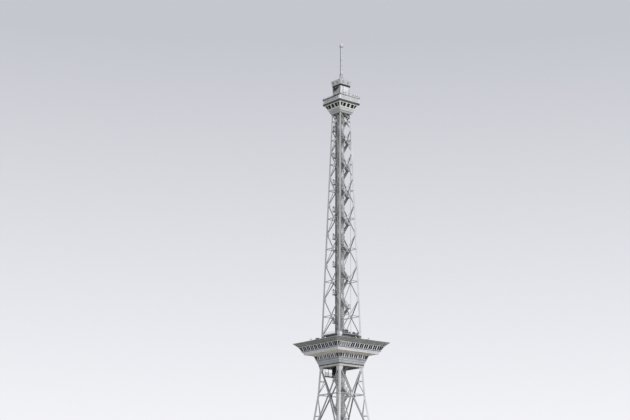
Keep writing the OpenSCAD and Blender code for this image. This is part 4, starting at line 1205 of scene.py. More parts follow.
def walkway_rails():
    """The pale guard rail of the walkway, and cable boxes and a winch drum on it."""
    build, dark, foot, r = Build(), Build(), high("roof_housing_slab").z - 0.003, WALK_R - 0.003
    for x in spread(6, 0.128):
        build.tube((x, -r, foot - 0.008), (x, -r, foot + 0.062), 0.0028, 6)
    for z in (foot + 0.032, foot + 0.060):
        build.tube((-WALK_END, -r, z), (WALK_END, -r, z), 0.0032, 6)
    build.repeat()
    build.make("walkway_rails", "cabin_white", smooth=True)
    for y, w, h in ((-0.10, 0.100, 0.100), (0.0, 0.050, 0.046), (0.15, 0.070, 0.060), (0.235, 0.050, 0.040),
                    (0.30, 0.036, 0.074)):
        dark.block((0.345, y, foot + h / 2), (0.040, w, h), 0.85)
    for y, w, h in ((-0.20, 0.060, 0.040), (0.05, 0.044, 0.030)):
        dark.block((-0.345, y, foot + h / 2), (0.036, w, h), 0.85)
    dark.spool((0.315, -0.22, foot + 0.050), (0, 1, 0), REEL, 28)
    for y in (-0.228, -0.150):
        dark.box((0.300, y - 0.004, foot - 0.001), (0.330, y + 0.004, foot + 0.058))
    dark.make("walkway_boxes", "fitting_grey", material="equipment_dark", bevel=0.001)


def overhang_fascia():
    """The pale edge board under the promenade's wall."""
    build = Build()
    build.ring([(-0.004, -0.018), (0.002, -0.018), (0.0035, 0.001), (-0.004, 0.001)], soffit.r1, PROM_Z)
    build.make("overhang_fascia", "parapet_grey")


def roof_floodlights():
    """The floodlights on the roof: post, yoke, finned body and lens; they stand for the plain ones."""
    build, lens = Build(), Build()
    r, x_lamp, post = EAVE_R - 0.07, 0.236, 0.046
    foot = roof_z(r - 0.0035) + 0.0003
    head = foot + post
    stand = ((0, 0.008), (0.003, 0.008), (0.004, 0.0035), (post - 0.012, 0.0035))
    for s in (-1, 1):
        x = s * x_lamp
        build.spool((x, -r, foot - 0.001), UP, stand, 10)
        for mid, half, top in ((x, 0.014, -0.0132), (x - 0.0135, 0.0012, 0.004), (x + 0.0135, 0.0012, 0.004)):
            build.plate(r, mid - half, mid + half, head - 0.016, head + top, 0.003, 0.003)
        levels = [(0, 0.013), (0.004, 0.013), (0.006, 0.011), (0.012, 0.011)]
        for fin in range(3):
            d = 0.012 + fin * 0.005
            levels += [(d, 0.012), (d + 0.002, 0.012), (d + 0.002, 0.0085), (d + 0.005, 0.0085)]
        build.spool((x, -r - 0.015, head), (0, 1, 0), levels, 20)
        lens.spool((x, -r - 0.0155, head), (0, 1, 0), ((0, 0.009), (0.001, 0.0108), (0.002, 0.0108)), 20)
    for b in (build, lens):
        b.repeat()
    build.make("roof_floodlights", "fitting_grey", stands_for=("roof_lamps",))
    lens.make("roof_floodlight_lenses", "fitting_grey", material="lamp_lens", smooth=True)


DISH_R, DISH_HALF = 0.036, 0.017
DRUM = ((0, 0.012), (0.008, 0.016), (0.010, 0.033), (0.013, DISH_R), (2 * DISH_HALF, DISH_R),
        (2 * DISH_HALF, DISH_R - 0.003), (2 * DISH_HALF - 0.006, DISH_R - 0.004))
DRUM_COVER = ((0, 0.032), (0.0015, 0.032), (0.004, 0.018), (0.005, 0.006))


def relay_dishes():
    """Two drum-shrouded radio dishes on posts, facing south-east; they stand for the plain ones."""
    dark, cover, box = Build(), Build(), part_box("radio_dishes")
    z0, head = box[0].z, box[1].z - DISH_R
    x, axis = (box[0].x + box[1].x) / 2, Vector((1, -1, 0)).normalized()
    post = ((0, 0.014), (0.004, 0.014), (0.005, 0.005), (head - z0, 0.005))
    for y in (box[0].y + 0.0375, box[1].y - 0.0375):
        dark.spool((x, y, z0 - 0.001), UP, post, 12)
        back = Vector((x, y, head)) - axis * DISH_HALF
        dark.spool(back, axis, DRUM, 32)
        cover.spool(back + axis * (2 * DISH_HALF - 0.0065), axis, DRUM_COVER, 32)
        for h in (-0.014, 0.010):
            dark.spool(Vector((x, y, head + h)), UP, ((0, 0.008), (0.005, 0.008)), 12)
    dark.make("relay_dishes", "fitting_grey", material="equipment_dark", smooth=True,
              stands_for=("radio_dishes",))
    cover.make("relay_dish_covers", "fitting_grey", material="equipment_dark", smooth=True)


def roof_equipment():
    """Ventilator boxes on short legs beside two of the legs, and a small post lamp."""
    build, dark = Build(), Build()
    for x, y, w, d, h in ((-0.455, -0.462, 0.10, 0.07, 0.045), (0.505, 0.205, 0.10, 0.08, 0.060)):
        z, half = roof_z(max(abs(x), abs(y))), 0.002
        foot, lx, ly = z + 0.052, w * 0.4, d * 0.4
        for sx, sy in CORNERS:
            dark.tube((x + sx * lx, y + sy * ly, z - 0.004), (x + sx * lx, y + sy * ly, foot), 0.003, 6)
        build.block((x, y, foot + h / 2), (w, d, h), 0.92)
        build.block((x, y, foot + h + 0.002), (w * 1.04, d * 1.04, 0.005), 0.9)
        for k in spread(4, h * 0.2):
            a, b = foot + h / 2 + k - half, foot + h / 2 + k + half
            dark.box((x - lx, y - d / 2 - half, a), (x + lx, y - d / 2 + half, b))
            dark.box((x + w * 0.46, y - ly, a), (x + w / 2 + half, y + ly, b))
    x, y = 0.56, 0.13
    dark.tube((x, y, roof_z(x) - 0.003), (x, y, roof_z(x) + 0.13), 0.0035)
    build.make("roof_equipment", "roof_grey", material="equipment_green", bevel=0.001)
    dark.make("roof_equipment_legs", "fitting_grey")


ROOF_VENT_PLACES = ((0, -0.42, 0.70), (0, 0.44, 0.62), (1, 0.30, 0.72), (2, -0.35, 0.66), (2, 0.40, 0.74),
                    (3, 0.1, 0.70))
ROOF_VENT = ((0, 0.018), (0.007, 0.018), (0.008, 0.010), (0.030, 0.010), (0.030, 0.019), (0.034, 0.019),
             (0.042, 0.004))


def roof_vents():
    """Round ventilators with hoods on the roof's slopes."""
    build = Build()
    for side, x, r in ROOF_VENT_PLACES:
        build.spool(turned((x, -r, roof_z(r) - 0.004), side), UP, ROOF_VENT, 20)
    build.make("roof_vents", "roof_grey", smooth=True)


def ring_beam_details():
    """Stiffeners and rivets on the white beam, and brackets at its foot."""
    build = Build()
    r, z0, z1 = high("restaurant_ring_beam").x, BEAM_Z, FLOOR_Z
    for x in spread(11, 0.076):
        build.plate(r, x - 0.002, x + 0.002, z0 + 0.006, z1 - 0.005, 0.004)
        for z in spread(3, 0.013):
            build.rivet((x + 0.008, -r, (z0 + z1) / 2 + z), SOUTH, 0.0025, 0.0018)
    build.repeat()
    build.hoop(r + 0.006, z0, 0.006, 0.006)
    build.hoop(r + 0.006, z1 - 0.006, 0.006, 0.005)
    build.make("ring_beam_stiffeners", "beam_white")


def floor_joists():
    """Joists and cross pieces under the restaurant's floor, cut at the stair."""
    build, end = Build(), high("restaurant_ring_beam").x - 0.03
    clear, foot = STAIR_R + 0.012, FLOOR_Z - 0.040
    for y in spread(15, 0.052):
        for a, b in ((-end, end),) if abs(y) > clear else ((-end, -clear), (clear, end)):
            build.box((a, y - 0.003, foot), (b, y + 0.003, FLOOR_Z))
            build.box((a, y - 0.008, foot), (b, y + 0.008, foot + 0.004))
    for x in (-clear - 0.006, clear + 0.006):
        build.box((x - 0.004, -end, foot - 0.004), (x + 0.004, end, FLOOR_Z))
    build.make("floor_joists", "fitting_grey", material="stair_steel")


def service_platform_rails():
    """Railing, kick plate and mesh of the platform that hangs under the floor."""
    build = Build()
    box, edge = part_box("service_platform"), 0.012
    x0, x1, y0, y1, z = box[0].x, box[1].x, box[0].y, box[1].y, box[0].z + edge
    for h, wide in ((0.11, 0.005), (0.075, 0.003), (0.045, 0.003), (0.012, 0.012)):
        build.beam((x0 + 0.003, y0, z + h), (x0 + 0.003, y1, z + h), (-1, 0, 0), wide, 0.003)
        for y, s in ((y0, -1), (y1, 1)):
            build.beam((x0, y - s * 0.003, z + h), (x1, y - s * 0.003, z + h), (0, s, 0), wide, 0.003)
    for y in steps(y0 + 0.02, y1 - 0.02, 0.0228):
        build.box((x0 + 0.001, y - 0.001, z), (x0 + 0.003, y + 0.001, z + 0.11))
    for x in steps(x0 + 0.02, x1 - 0.01, 0.0228):
        build.box((x - 0.001, y0 + 0.001, z), (x + 0.001, y0 + 0.003, z + 0.11))
        build.beam((x, y0, z - edge), (x, y1, z - edge), (0, 0, -1), 0.003, 0.003, sink=-0.003)
    build.make("service_platform_rails", "stair_steel")


RESTAURANT_PIECES = (window_mullions, dark_panes, walkway_rails, window_frames, window_sills, blinds,
                     skirt_ribs, skirt_battens, parapet_ribs, overhang_battens, eave_ribs, eave_gutter,
                     roof_seams, roof_leg_collars, housing_details, housing_walkway, overhang_fascia,
                     roof_floodlights, relay_dishes, roof_equipment, roof_vents, ring_beam_details,
                     floor_joists, service_platform_rails)
for piece in RESTAURANT_PIECES:
    piece()


# Sizes of the lookout, the deck, the cabin and the antenna
TOP_R, BASE_LOW_H = 0.192, 0.065
GLASS_Z, RIM_LOW = low("lookout_walls").z, low("viewing_deck").z
DECK_R, DECK_Z, PARAPET_Z = high("viewing_deck").x, high("viewing_deck").z, high("deck_parapet").z
CABIN_R, CABIN_TOP, SLAB_TOP = high("cabin_walls").x, high("cabin_walls").z, high("cabin_roof").z
SLAB_R, CROWN_TOP, CROWN_R = high("cabin_roof").x, high("cabin_parapet").z, high("cabin_parapet").x
PYRAMID_TOP, MAST_TOP, TIP_Z = high("antenna_pyramid").z, high("antenna_mast").z, high("antenna_rod").z
base_low = Lean(LOOKOUT_Z, TOP_R, LOOKOUT_Z + BASE_LOW_H, 0.237)
base_high = Lean(base_low.z1, base_low.r1, GLASS_Z, high("lookout_base").x)
glazed = Lean(GLASS_Z, base_high.r1, RIM_LOW, high("lookout_walls").x)
crown = Lean(SLAB_TOP, SLAB_R, CROWN_TOP, CROWN_R)
LEFT_TURN = math.radians(230)
LOOK_SILL, LOOK_HEAD, LOOK_PITCH, LOOK_W, LOOK_BAR = GLASS_Z + 0.022, GLASS_Z + 0.122, 0.144, 0.108, 0.010


# Two sides each: the first one, the quarter turns from it to the other, and their material; the darker south
# and west cream is painted shade
SHADE_SIDES = (("east_north", 1, 1, "cream"), ("south_west", 0, 3, "shaded_cream"))


def lookout_window_frames():
    """Frames of the square windows and of the slanted ones at the corners, darker on the south and west sides
    as painted shade.
    """
    for sides, first, more, material in SHADE_SIDES:
        build = lookout_frames(0.0065)
        build.turn_on(first)
        build.repeat(sides=(more,))
        build.make("lookout_window_frames_" + sides, "cream", material=material, bevel=0.0008)


def lookout_frames(bar):
    """The frames of one side, with bars of this width."""
    build = Build()
    rows = [(x, LOOK_W, LOOK_SILL, LOOK_HEAD) for x in spread(3, LOOK_PITCH)]
    frames(build, glazed, rows, bar, out=0.003)
    edge = 1.5 * LOOK_PITCH - LOOK_BAR / 2 + 0.002
    foot, head = glazed.r(LOOK_SILL) - 0.026, glazed.r(LOOK_HEAD) - 0.026
    for x0, x1, z0, z1, slant in ((edge, edge + bar, LOOK_SILL, LOOK_HEAD, 0),
                                  (edge, foot, LOOK_SILL, LOOK_SILL + bar, 0),
                                  (edge, head, LOOK_HEAD - bar, LOOK_HEAD, 0),
                                  (foot - bar, foot, LOOK_SILL, LOOK_HEAD, head - foot)):
        for s in (-1, 1):
            a, b = sorted((s * x0, s * x1))
            glazed.slab(build, a, b, z0, z1, FRAME_BACK, 0.003, slant=s * slant)
    return build


def lookout_sill_bands():
    """Bands at the foot and the head of the lookout's windows."""
    bands = Build()
    bands.band(glazed, GLASS_Z + 0.001, GLASS_Z + 0.008, 0.009)
    bands.band(glazed, RIM_LOW - 0.008, RIM_LOW - 0.001, 0.005)
    bands.make("lookout_sill_bands", "cream", bevel=0.0008)


def lookout_base_steps():
    """Raking ribs and two bands on the foot of the lookout's base."""
    build, foot = Build(), LOOKOUT_Z + 0.02
    for x in spread(5, 0.076):
        p, q = (x, -base_low.r(foot), foot), (x, -base_low.r1, base_low.z1)
        build.beam(p, q, (0, -1, -0.7), 0.005, 0.004, sink=-0.004)
    build.repeat()
    build.band(base_low, LOOKOUT_Z + 0.001, LOOKOUT_Z + 0.018, 0.010)
    build.band(base_low, LOOKOUT_Z + 0.049, LOOKOUT_Z + 0.061, 0.006)
    build.make("lookout_base_steps", "fascia_blue", material="stair_steel", bevel=0.0008)


def lookout_fascia():
    """Ribs and rivets on the upper, steeper part of the lookout's base."""
    build = Build()
    for x in spread(7, 0.068):
        base_high.slab(build, x - 0.0015, x + 0.0015, base_high.z0 + 0.002, GLASS_Z - 0.002, 0, 0.003)
        for z in (base_high.z0 + 0.012, GLASS_Z - 0.012):
            build.rivet(base_high.at(x + 0.008, z), (0, -1, -0.4), 0.002, 0.0015)
    build.repeat()
    build.make("lookout_fascia_ribs", "fascia_blue")


def deck_edge():
    """Brackets under the deck's rim, the drip edge and the drain spouts."""
    build, spout = Build(), ((0, 0.006), (0.016, 0.006), (0.016, 0.004), (0.010, 0.004))
    for x in spread(7, 0.1):
        p, q = (x, -glazed.r1 + 0.002, RIM_LOW - 0.006), (x, -DECK_R + 0.003, RIM_LOW + 0.010)
        build.beam(p, q, (0, 0, -1), 0.006, 0.010, sink=-0.001)
    build.repeat()
    for i in range(4):
        at = turned((0.22, -DECK_R, DECK_Z - 0.006), i)
        build.spool(at, turned((0, -1, -0.2), i), spout, 10)
    build.hoop(DECK_R + 0.003, DECK_Z - 0.038, 0.003, 0.008)
    build.hoop(DECK_R + 0.003, DECK_Z - 0.006, 0.003, 0.006)
    build.make("deck_edge", "deck_dark")


def deck_parapet_ribs():
    """Ribs on both faces of the deck's parapet, and its foot band."""
    build = Build()
    for x in spread(11, 0.0622):
        for r in (DECK_R, DECK_R - 0.013):
            build.plate(r, x - 0.003, x + 0.003, DECK_Z, PARAPET_Z, 0.004)
    build.repeat()
    build.hoop(DECK_R + 0.005, DECK_Z + 0.004, 0.005, 0.010)
    build.make("deck_parapet_ribs", "parapet_grey")


def deck_rails():
    """The dark coping of the parapet, with a dark band under it on the south and west sides as painted shade,
    and the guard rail on it.
    """
    cope, build = Build(), Build()
    cope.hoop(DECK_R + 0.005, PARAPET_Z, 0.018, 0.008)
    # A dark band under the coping on the south and west sides only: painted shade
    cope.plate(DECK_R, -DECK_R - 0.0055, DECK_R, PARAPET_Z - 0.026, PARAPET_Z + 0.001, 0.0055, 0.001)
    cope.repeat(sides=(3,))
    cope.make("deck_coping", "deck_dark")
    top = PARAPET_Z + 0.008
    for x in spread(7, 0.118):
        build.box((x - 0.0025, -DECK_R + 0.002, top), (x + 0.0025, -DECK_R + 0.007, top + 0.036))
    build.repeat()
    for z in (top + 0.014, top + 0.033):
        build.hoop(DECK_R - 0.002, z, 0.005, 0.004)
    build.make("deck_guard_rail", "parapet_grey")


def deck_equipment():
    """Floodlights and an instrument box on the parapet's coping, and small lamps along the near edges."""
    build, dark, red, top = Build(), Build(), Build(), PARAPET_Z + 0.008
    lens = ((0, 0.008), (0.006, 0.009), (0.013, 0.007), (0.017, 0.002))
    for y, w, h in ((0.145, 0.052, 0.050), (0.235, 0.062, 0.042), (0.30, 0.034, 0.060)):
        x = DECK_R - 0.004
        build.tube((x, y, top), (x, y, top + 0.052), 0.0030, 8)
        build.block((x, y, top + 0.052 + h / 2), (0.036, w * 0.9, h * 0.9), 0.88)
    for side, x in ((1, -0.33), (1, -0.24), (1, -0.16), (0, 0.30), (0, 0.16), (2, 0.0), (3, 0.1), (3, -0.2)):
        at = turned((x, -DECK_R - 0.001, PARAPET_Z + 0.006), side)
        dark.block(at, (0.028, 0.024, 0.028), 0.8)
    for sx, sy in CORNERS:
        at = (sx * (DECK_R - 0.005), sy * (DECK_R - 0.005), top)
        dark.spool(at, UP, ((0, 0.005), (0.030, 0.005), (0.030, 0.010), (0.034, 0.010)), 12)
        red.spool((at[0], at[1], top + 0.034), UP, lens, 16)
    build.make("deck_equipment", "parapet_grey", bevel=0.001)
    dark.make("deck_fittings", "fitting_grey", bevel=0.0006)
    red.make("obstruction_lamps", "fitting_grey", material="signal_red", smooth=True)


def cabin_skin():
    """Cover strips of the cabin's sheets, corner angles and the foot flashing."""
    build, c, mid, height = Build(), CABIN_R - 0.003, (DECK_Z + CABIN_TOP) / 2, CABIN_TOP - DECK_Z - 0.004
    for x in spread(4, 0.07):
        build.plate(CABIN_R, x - 0.002, x + 0.002, DECK_Z + 0.215, CABIN_TOP - 0.135, 0.003)
    build.repeat()
    for z in (DECK_Z + 0.345, CABIN_TOP - 0.010):
        build.hoop(CABIN_R + 0.003, z, 0.003, 0.005)
    for sx, sy in CORNERS:
        build.block((sx * c, sy * c, mid), (0.011, 0.011, height))
    build.make("cabin_panel_joints", "cabin_white")


def cabin_fittings():
    """Surround of the front opening, door leaf trim, conduits, junction boxes and a ladder."""
    build, pipes = Build(), Build()
    x0, x1, z0, z1 = -0.159, -0.059, CABIN_TOP - 0.126, CABIN_TOP - 0.008
    for a, b, c, d in ((x0 - 0.006, x0, z0, z1), (x1, x1 + 0.006, z0, z1),
                       (x0 - 0.006, x1 + 0.006, z0 - 0.006, z0), (x0 - 0.006, x1 + 0.006, z1, z1 + 0.005)):
        build.plate(CABIN_R, a, b, c, d, 0.005, 0.002)
    for a, b, c, d in ((-0.052, -0.045, 0, 0.205), (0.045, 0.052, 0, 0.205), (-0.052, 0.052, 0.205, 0.213)):
        build.box((a, CABIN_R - 0.002, DECK_Z + c), (b, CABIN_R + 0.005, DECK_Z + d))
    for y, z in ((-0.05, 0.30), (0.02, 0.31), (-0.12, 0.275), (0.03, 0.25), (0.11, 0.17)):
        build.block((CABIN_R + 0.005, y, DECK_Z + z), (0.014, 0.022, 0.026), 0.9)
    for x, z in ((0.11, 0.26), (0.02, 0.17), (-0.11, 0.12)):
        build.block((x, -CABIN_R - 0.005, DECK_Z + z), (0.024, 0.014, 0.030), 0.9)
    build.make("cabin_fittings", "fitting_grey", bevel=0.0006)
    for y in (-0.085, -0.078):
        pipes.tube((CABIN_R + 0.005, y, DECK_Z), (CABIN_R + 0.005, y, CABIN_TOP - 0.002), 0.003, 8)
    for x in (-0.015, 0.135):
        pipes.tube((x, -CABIN_R - 0.005, DECK_Z), (x, -CABIN_R - 0.005, CABIN_TOP - 0.002), 0.003, 8)
    for y in (0.12, 0.15):
        pipes.tube((CABIN_R + 0.012, y, DECK_Z), (CABIN_R + 0.012, y, CABIN_TOP - 0.01), 0.0025, 8)
    for z in steps(DECK_Z + 0.025, CABIN_TOP - 0.03, 0.03):
        pipes.tube((CABIN_R + 0.012, 0.12, z), (CABIN_R + 0.012, 0.15, z), 0.0018, 6)
    for z in steps(DECK_Z + 0.08, CABIN_TOP - 0.05, 0.16):
        for y in (0.12, 0.15):
            pipes.tube((CABIN_R, y, z), (CABIN_R + 0.012, y, z), 0.002, 6)
    pipes.make("cabin_pipes", "cabin_white", material="stair_steel")


def deck_sheets():
    """The parapet's sheets on the south side."""
    build, pitch = Build(), 0.0622
    for x in spread(10, pitch):
        a, b = x - pitch / 2 + 0.004, x + pitch / 2 - 0.004
        build.plate(DECK_R, a, b, DECK_Z + 0.016, PARAPET_Z - 0.004, 0.0012, 0.001)
    return build


def pale_deck_sheets():
    """The parapet's sheets on the east and north sides."""
    build = deck_sheets()
    build.turn_on(1)
    build.repeat(sides=(1,))
    build.make("pale_deck_sheets", "parapet_grey", material="pale_sheet")


def slab_shadow_louvres():
    """Dark louvres beside the cabin's front opening, in rows that get shorter downwards: a painted shadow of
    the slab, stepped along its slant.
    """
    build = Build()
    for row in range(9):
        z, end = CABIN_TOP - 0.020 - row * 0.0115, 0.150 - row * 0.022
        build.plate(CABIN_R, -0.052, end, z, z + 0.0085, 0.005, 0.001)
    build.make("slab_shadow_louvres", "deck_dark", material="equipment_dark")


def shaded_sheets():
    """Darker sheets on the south and west sides of the lookout's base, the parapet and the cabin: painted
    shade of those sides.
    """
    build = deck_sheets()
    for x in spread(6, 0.068):
        base_high.slab(build, x - 0.0315, x + 0.0315, base_high.z0 + 0.004, GLASS_Z - 0.004, -0.001, 0.001)
    low_z, mid_z, top_z = DECK_Z + 0.213, DECK_Z + 0.343, CABIN_TOP - 0.013
    for x in spread(5, 0.07):
        a, b = max(x - 0.033, -CABIN_R + 0.011), min(x + 0.033, CABIN_R - 0.011)
        rows = [(DECK_Z + 0.002, low_z), (low_z + 0.004, mid_z)]
        if a > -0.05:
            rows.append((mid_z + 0.009, top_z))
        for z0, z1 in rows:
            build.plate(CABIN_R, a, b, z0, z1, 0.0012, 0.001)
    build.repeat(sides=(3,))
    build.make("shaded_sheets", "parapet_grey", material="shaded_sheet")


def crown_sheets():
    """The sheet between the bands of the cabin's parapet."""
    build = Build()
    build.band(crown, crown.z0 + 0.010, crown.z1 - 0.009, 0.0012, back=0.001)
    build.make("cabin_parapet_sheets", "cabin_white", material="pale_sheet")


def mast_ladder():
    """A pale cable ladder on one side of the antenna's mast."""
    build, foot, head = Build(), PYRAMID_TOP + 0.03, MAST_TOP - 0.012
    right = Vector((math.cos(LEFT_TURN + math.pi), math.sin(LEFT_TURN + math.pi), 0))
    for out in (0.037, 0.051):
        build.tube(right * out + Vector((0, 0, foot)), right * out + Vector((0, 0, head)), 0.0024, 8)
    for z in steps(foot + 0.01, head - 0.01, 0.028):
        build.tube(right * 0.026 + Vector((0, 0, z)), right * 0.051 + Vector((0, 0, z)), 0.0018, 6)
    build.make("mast_ladder", "antenna_grey", material="cabin_white", smooth=True)


def cabin_louvres():
    """Four rings of louvres over the cabin's walls, and the slab's drip edge."""
    build = Build()
    for k in range(4):
        z, r = CABIN_TOP + 0.003 + k * 0.0095, CABIN_R + 0.005
        build.ring([(-0.010, 0), (0, -0.002), (0, 0.001), (-0.010, 0.005)], r, z)
    build.hoop(SLAB_R + 0.002, SLAB_TOP - 0.016, 0.002, 0.006)
    build.make("cabin_louvres", "deck_dark")


def cabin_crown():
    """Ribs, head band and foot band of the crown."""
    build = Build()
    for x in spread(5, 0.07):
        crown.slab(build, x - 0.002, x + 0.002, crown.z0 + 0.002, crown.z1 - 0.002, 0, 0.004)
    build.repeat()
    build.band(crown, crown.z1 - 0.008, crown.z1, 0.005, back=0.010)
    build.band(crown, crown.z0 + 0.002, crown.z0 + 0.009, 0.004)
    build.make("cabin_parapet_ribs", "cabin_white")


# Aerials on the crown: side, place along it, width and height
AERIALS = ((0, -0.12, 0.030, 0.085), (0, 0.05, 0.022, 0.060), (1, -0.10, 0.026, 0.080),
           (1, 0.08, 0.034, 0.050), (2, 0.0, 0.030, 0.085), (3, 0.06, 0.026, 0.075))


def cabin_head_aerials():
    """Panel aerials and cable boxes on the crown's outside."""
    build, z, deep, inset = Build(), crown.z0 + 0.030, 0.012, 0.012
    reach = 0.006 + 0.001 * (crown.r1 - crown.r0) / (crown.z1 - crown.z0)
    for side, x, w, h in AERIALS:
        corners = ((-w / 2, 0), (w / 2, 0), (w / 2, deep), (-w / 2, deep))
        build.loft(*[[turned((x + a, -crown.r(z + dz) - 0.004 - b, z + dz), side) for a, b in corners]
                     for dz in (0, h)])
        for dz in (inset, h - inset):
            r = crown.r(z + dz)
            p, q = turned((x, -r, z + dz), side), turned((x, -r - reach, z + dz), side)
            build.beam(p, q, UP, 0.008, 0.004)
    build.make("cabin_head_aerials", "cabin_white", material="equipment_green", bevel=0.001)


def pyramid_lattice():
    """Cross bracing on the pyramid's four sides, foot plates and head collar."""
    build = Build()
    foot_z, head_z, foot_r, head_r = SLAB_TOP + 0.004, PYRAMID_TOP - 0.004, 0.084, 0.029

    def r(z):
        return foot_r + (head_r - foot_r) * (z - foot_z) / (head_z - foot_z)

    levels = [foot_z + (head_z - foot_z) * share for share in (0.04, 0.27, 0.5, 0.70, 0.86, 0.99)]
    for z0, z1 in zip(levels, levels[1:]):
        for s in (-1, 1):
            p, q = (s * r(z0), -r(z0) - 0.002 * s, z0), (-s * r(z1), -r(z1) - 0.002 * s, z1)
            build.beam(p, q, (0, -1, -0.15), 0.005, 0.003)
        build.beam((-r(z1), -r(z1), z1), (r(z1), -r(z1), z1), (0, -1, -0.15), 0.004, 0.004)
    build.repeat()
    for sx, sy in CORNERS:
        build.block((sx * foot_r, sy * foot_r, SLAB_TOP + 0.012), (0.026, 0.026, 0.008), 0.8)
    build.spool((0, 0, PYRAMID_TOP), UP, ((0, 0.032), (0.005, 0.032), (0.005, 0.029), (0.018, 0.028)), 32)
    build.make("pyramid_lattice", "antenna_grey", material="cabin_white")


def mast_fittings():
    """Flanges, rungs, feeders and conduits on the antenna's mast, and the rail of its platform; the feeders
    darken the mast's left half as painted shade.
    """
    build, lines, r = Build(), Build(), 0.027
    flange_ring = ((0, r + 0.001), (0, r + 0.006), (0.008, r + 0.006), (0.008, r + 0.001))
    for z in steps(PYRAMID_TOP + 0.14, MAST_TOP - 0.08, 0.14):
        build.spool((0, 0, z), UP, flange_ring, 32)
        for x, y in circle(8, r + 0.0035):
            build.tube((x, y, z + 0.008), (x, y, z + 0.011), 0.0016, 6)
    for z in steps(PYRAMID_TOP + 0.04, MAST_TOP - 0.03, 0.03):
        build.tube((-0.008, -r + 0.002, z), (-0.008, -r - 0.012, z), 0.0014, 6)
        build.tube((0.008, -r + 0.002, z + 0.015), (0.008, -r - 0.012, z + 0.015), 0.0014, 6)
    # Feeders round the mast's left half, dark as painted shade of that side
    for turn in (-0.1, 0.25, 0.60, 0.95, 1.30):
        a = LEFT_TURN + turn
        x, y = (r + 0.003) * math.cos(a), (r + 0.003) * math.sin(a)
        lines.tube((x, y, PYRAMID_TOP + 0.018), (x, y, MAST_TOP - 0.010), 0.0048, 8)
    for x, y in circle(8, 0.053):
        build.tube((x, y, MAST_TOP), (x, y, MAST_TOP + 0.050), 0.0014, 6)
    build.make("mast_fittings", "antenna_grey")
    lines.make("mast_feeders", "antenna_grey", material="shaded_sheet", smooth=True)
    rail, section = Build(), ((0.0515, -0.0015), (0.0545, -0.0015), (0.0545, 0.0015), (0.0515, 0.0015))
    for z in (MAST_TOP + 0.025, MAST_TOP + 0.049):
        rail.loft(*[[(d * x, d * y, z + h) for d, h in section] for x, y in circle(24)], closed=True)
    rail.make("mast_platform_rail", "antenna_grey", smooth=True)


def drum_details():
    """Ribs, head and foot rings of the drum, the rod's joints and the lamp near the tip."""
    build, r, foot, head = Build(), high("antenna_rod").x, MAST_TOP, MAST_TOP + 0.084
    neck = ((0, r - 0.004), (0.005, r - 0.010), (0.009, 0.014), (0.016, 0.009), (0.030, 0.007))
    for x, y in circle(12, r + 0.0005):
        build.tube((x, y, foot + 0.004), (x, y, head - 0.004), 0.0022, 6)
    for z in (foot + 0.001, head - 0.006):
        build.spool((0, 0, z), UP, ((0, r + 0.001), (0.005, r + 0.001), (0.006, r - 0.002)), 40)
    build.spool((0, 0, head), UP, neck, 32)
    for z in (head + 0.075, head + 0.15):
        build.spool((0, 0, z), UP, ((0, 0.0065), (0.001, 0.009), (0.007, 0.009), (0.008, 0.0065)), 16)
    build.spool((0, 0, foot + 0.008), UP, ((0, r + 0.0008), (0.066, r + 0.0008)), 40)
    build.make("drum_details", "antenna_grey", material="cream", smooth=True)
    lamp, lens = Build(), ((0, 0.0065), (0.002, 0.010), (0.012, 0.010), (0.017, 0.006))
    lamp.spool((0, 0, TIP_Z - 0.030), UP, lens, 16)
    lamp.make("tip_lamp", "antenna_grey", material="lamp_lens", smooth=True)


LOOKOUT_PIECES = (lookout_window_frames, lookout_sill_bands, shaded_sheets, pale_deck_sheets, slab_shadow_louvres,
                  crown_sheets, mast_ladder, lookout_base_steps, lookout_fascia, deck_edge,
                  deck_parapet_ribs, deck_rails, deck_equipment, cabin_skin, cabin_fittings, cabin_louvres,
                  cabin_crown, cabin_head_aerials, pyramid_lattice, mast_fittings, drum_details)
for piece in LOOKOUT_PIECES:
    piece()


# Light, floor, backdrop
SKY_FOOT, SKY_HEAD, SKY_FOOT_Z, SKY_HEAD_Z = (0.89, 0.895, 0.93, 1), (0.56, 0.57, 0.62, 1), 0.10, 0.38
SKY_LIGHT, SKY_LEVEL = (0.93, 0.96, 1.0, 1), 0.78
SUN_LEVEL, SUN_SOFT, SUN_COLOUR, SUN_FROM = 1.95, 25, (1.0, 0.985, 0.96), (1.0, 0.06, 0.45)
FLOOR_LIT, FLOOR_SEEN, FLOOR_HALF, FLOOR_Z0 = (0.55, 0.55, 0.54, 1), (0.66, 0.66, 0.66, 1), 60.0, -0.001


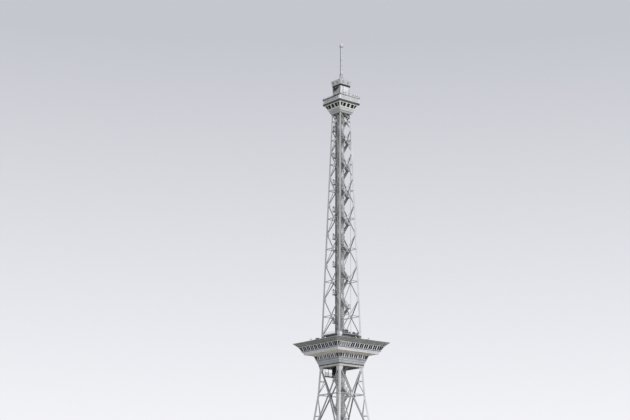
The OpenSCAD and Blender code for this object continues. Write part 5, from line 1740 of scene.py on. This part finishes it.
def make_sky():
    """A pale backdrop, a little deeper above, and a soft even light on the object."""
    world = bpy.data.worlds.new("sky")
    scene.world = world
    world.use_nodes = True
    tree = world.node_tree
    tree.nodes.clear()
    out = node_of(tree, "ShaderNodeOutputWorld")
    mix = node_of(tree, "ShaderNodeMixShader")
    path = node_of(tree, "ShaderNodeLightPath").outputs
    shades = []
    for level, socket in ((SKY_LEVEL, 1), (1.0, 2)):
        shade = node_of(tree, "ShaderNodeBackground")
        shade.inputs["Color"].default_value = SKY_LIGHT
        shade.inputs["Strength"].default_value = level
        tree.links.new(shade.outputs["Background"], mix.inputs[socket])
        shades.append(shade)
    coord = node_of(tree, "ShaderNodeTexCoord")
    split = node_of(tree, "ShaderNodeSeparateXYZ")
    tree.links.new(coord.outputs["Generated"], split.inputs["Vector"])
    blend = node_of(tree, "ShaderNodeMix", data_type="RGBA")
    blend.inputs["A"].default_value = SKY_FOOT
    blend.inputs["B"].default_value = SKY_HEAD
    tree.links.new(ranged(tree, split.outputs["Z"], 0, 1, SKY_FOOT_Z, SKY_HEAD_Z), blend.inputs["Factor"])
    tree.links.new(blend.outputs["Result"], shades[1].inputs["Color"])
    seen = joined(tree, "MAXIMUM", path["Is Camera Ray"], path["Is Glossy Ray"])
    seen = joined(tree, "MAXIMUM", seen, path["Is Transmission Ray"])
    tree.links.new(seen, mix.inputs["Fac"])
    tree.links.new(mix.outputs["Shader"], out.inputs["Surface"])


def make_sun():
    """A soft, low sun from the east."""
    data = bpy.data.lights.new("sun", "SUN")
    data.energy, data.angle, data.color = SUN_LEVEL, math.radians(SUN_SOFT), SUN_COLOUR
    sun = bpy.data.objects.new("sun", data)
    sun.rotation_euler = Vector(SUN_FROM).to_track_quat("Z", "Y").to_euler()
    scene.collection.objects.link(sun)


def make_floor():
    """A wide floor that lights the object less than it shows to the camera."""
    mesh = bpy.data.meshes.new("floor")
    mesh.from_pydata([(sx * FLOOR_HALF, sy * FLOOR_HALF, FLOOR_Z0) for sx, sy in CORNERS], [], [(0, 1, 2, 3)])
    floor = bpy.data.objects.new("floor", mesh)
    scene.collection.objects.link(floor)
    material = bpy.data.materials.new("floor")
    material.use_nodes = True
    tree = material.node_tree
    shader = tree.nodes["Principled BSDF"]
    shader.inputs["Roughness"].default_value = 0.9
    path = node_of(tree, "ShaderNodeLightPath")
    mix = node_of(tree, "ShaderNodeMix", data_type="RGBA")
    mix.inputs["A"].default_value = FLOOR_LIT
    mix.inputs["B"].default_value = FLOOR_SEEN
    tree.links.new(path.outputs["Is Camera Ray"], mix.inputs["Factor"])
    tree.links.new(mix.outputs["Result"], shader.inputs["Base Color"])
    mesh.materials.append(material)


make_sky()
make_sun()
make_floor()
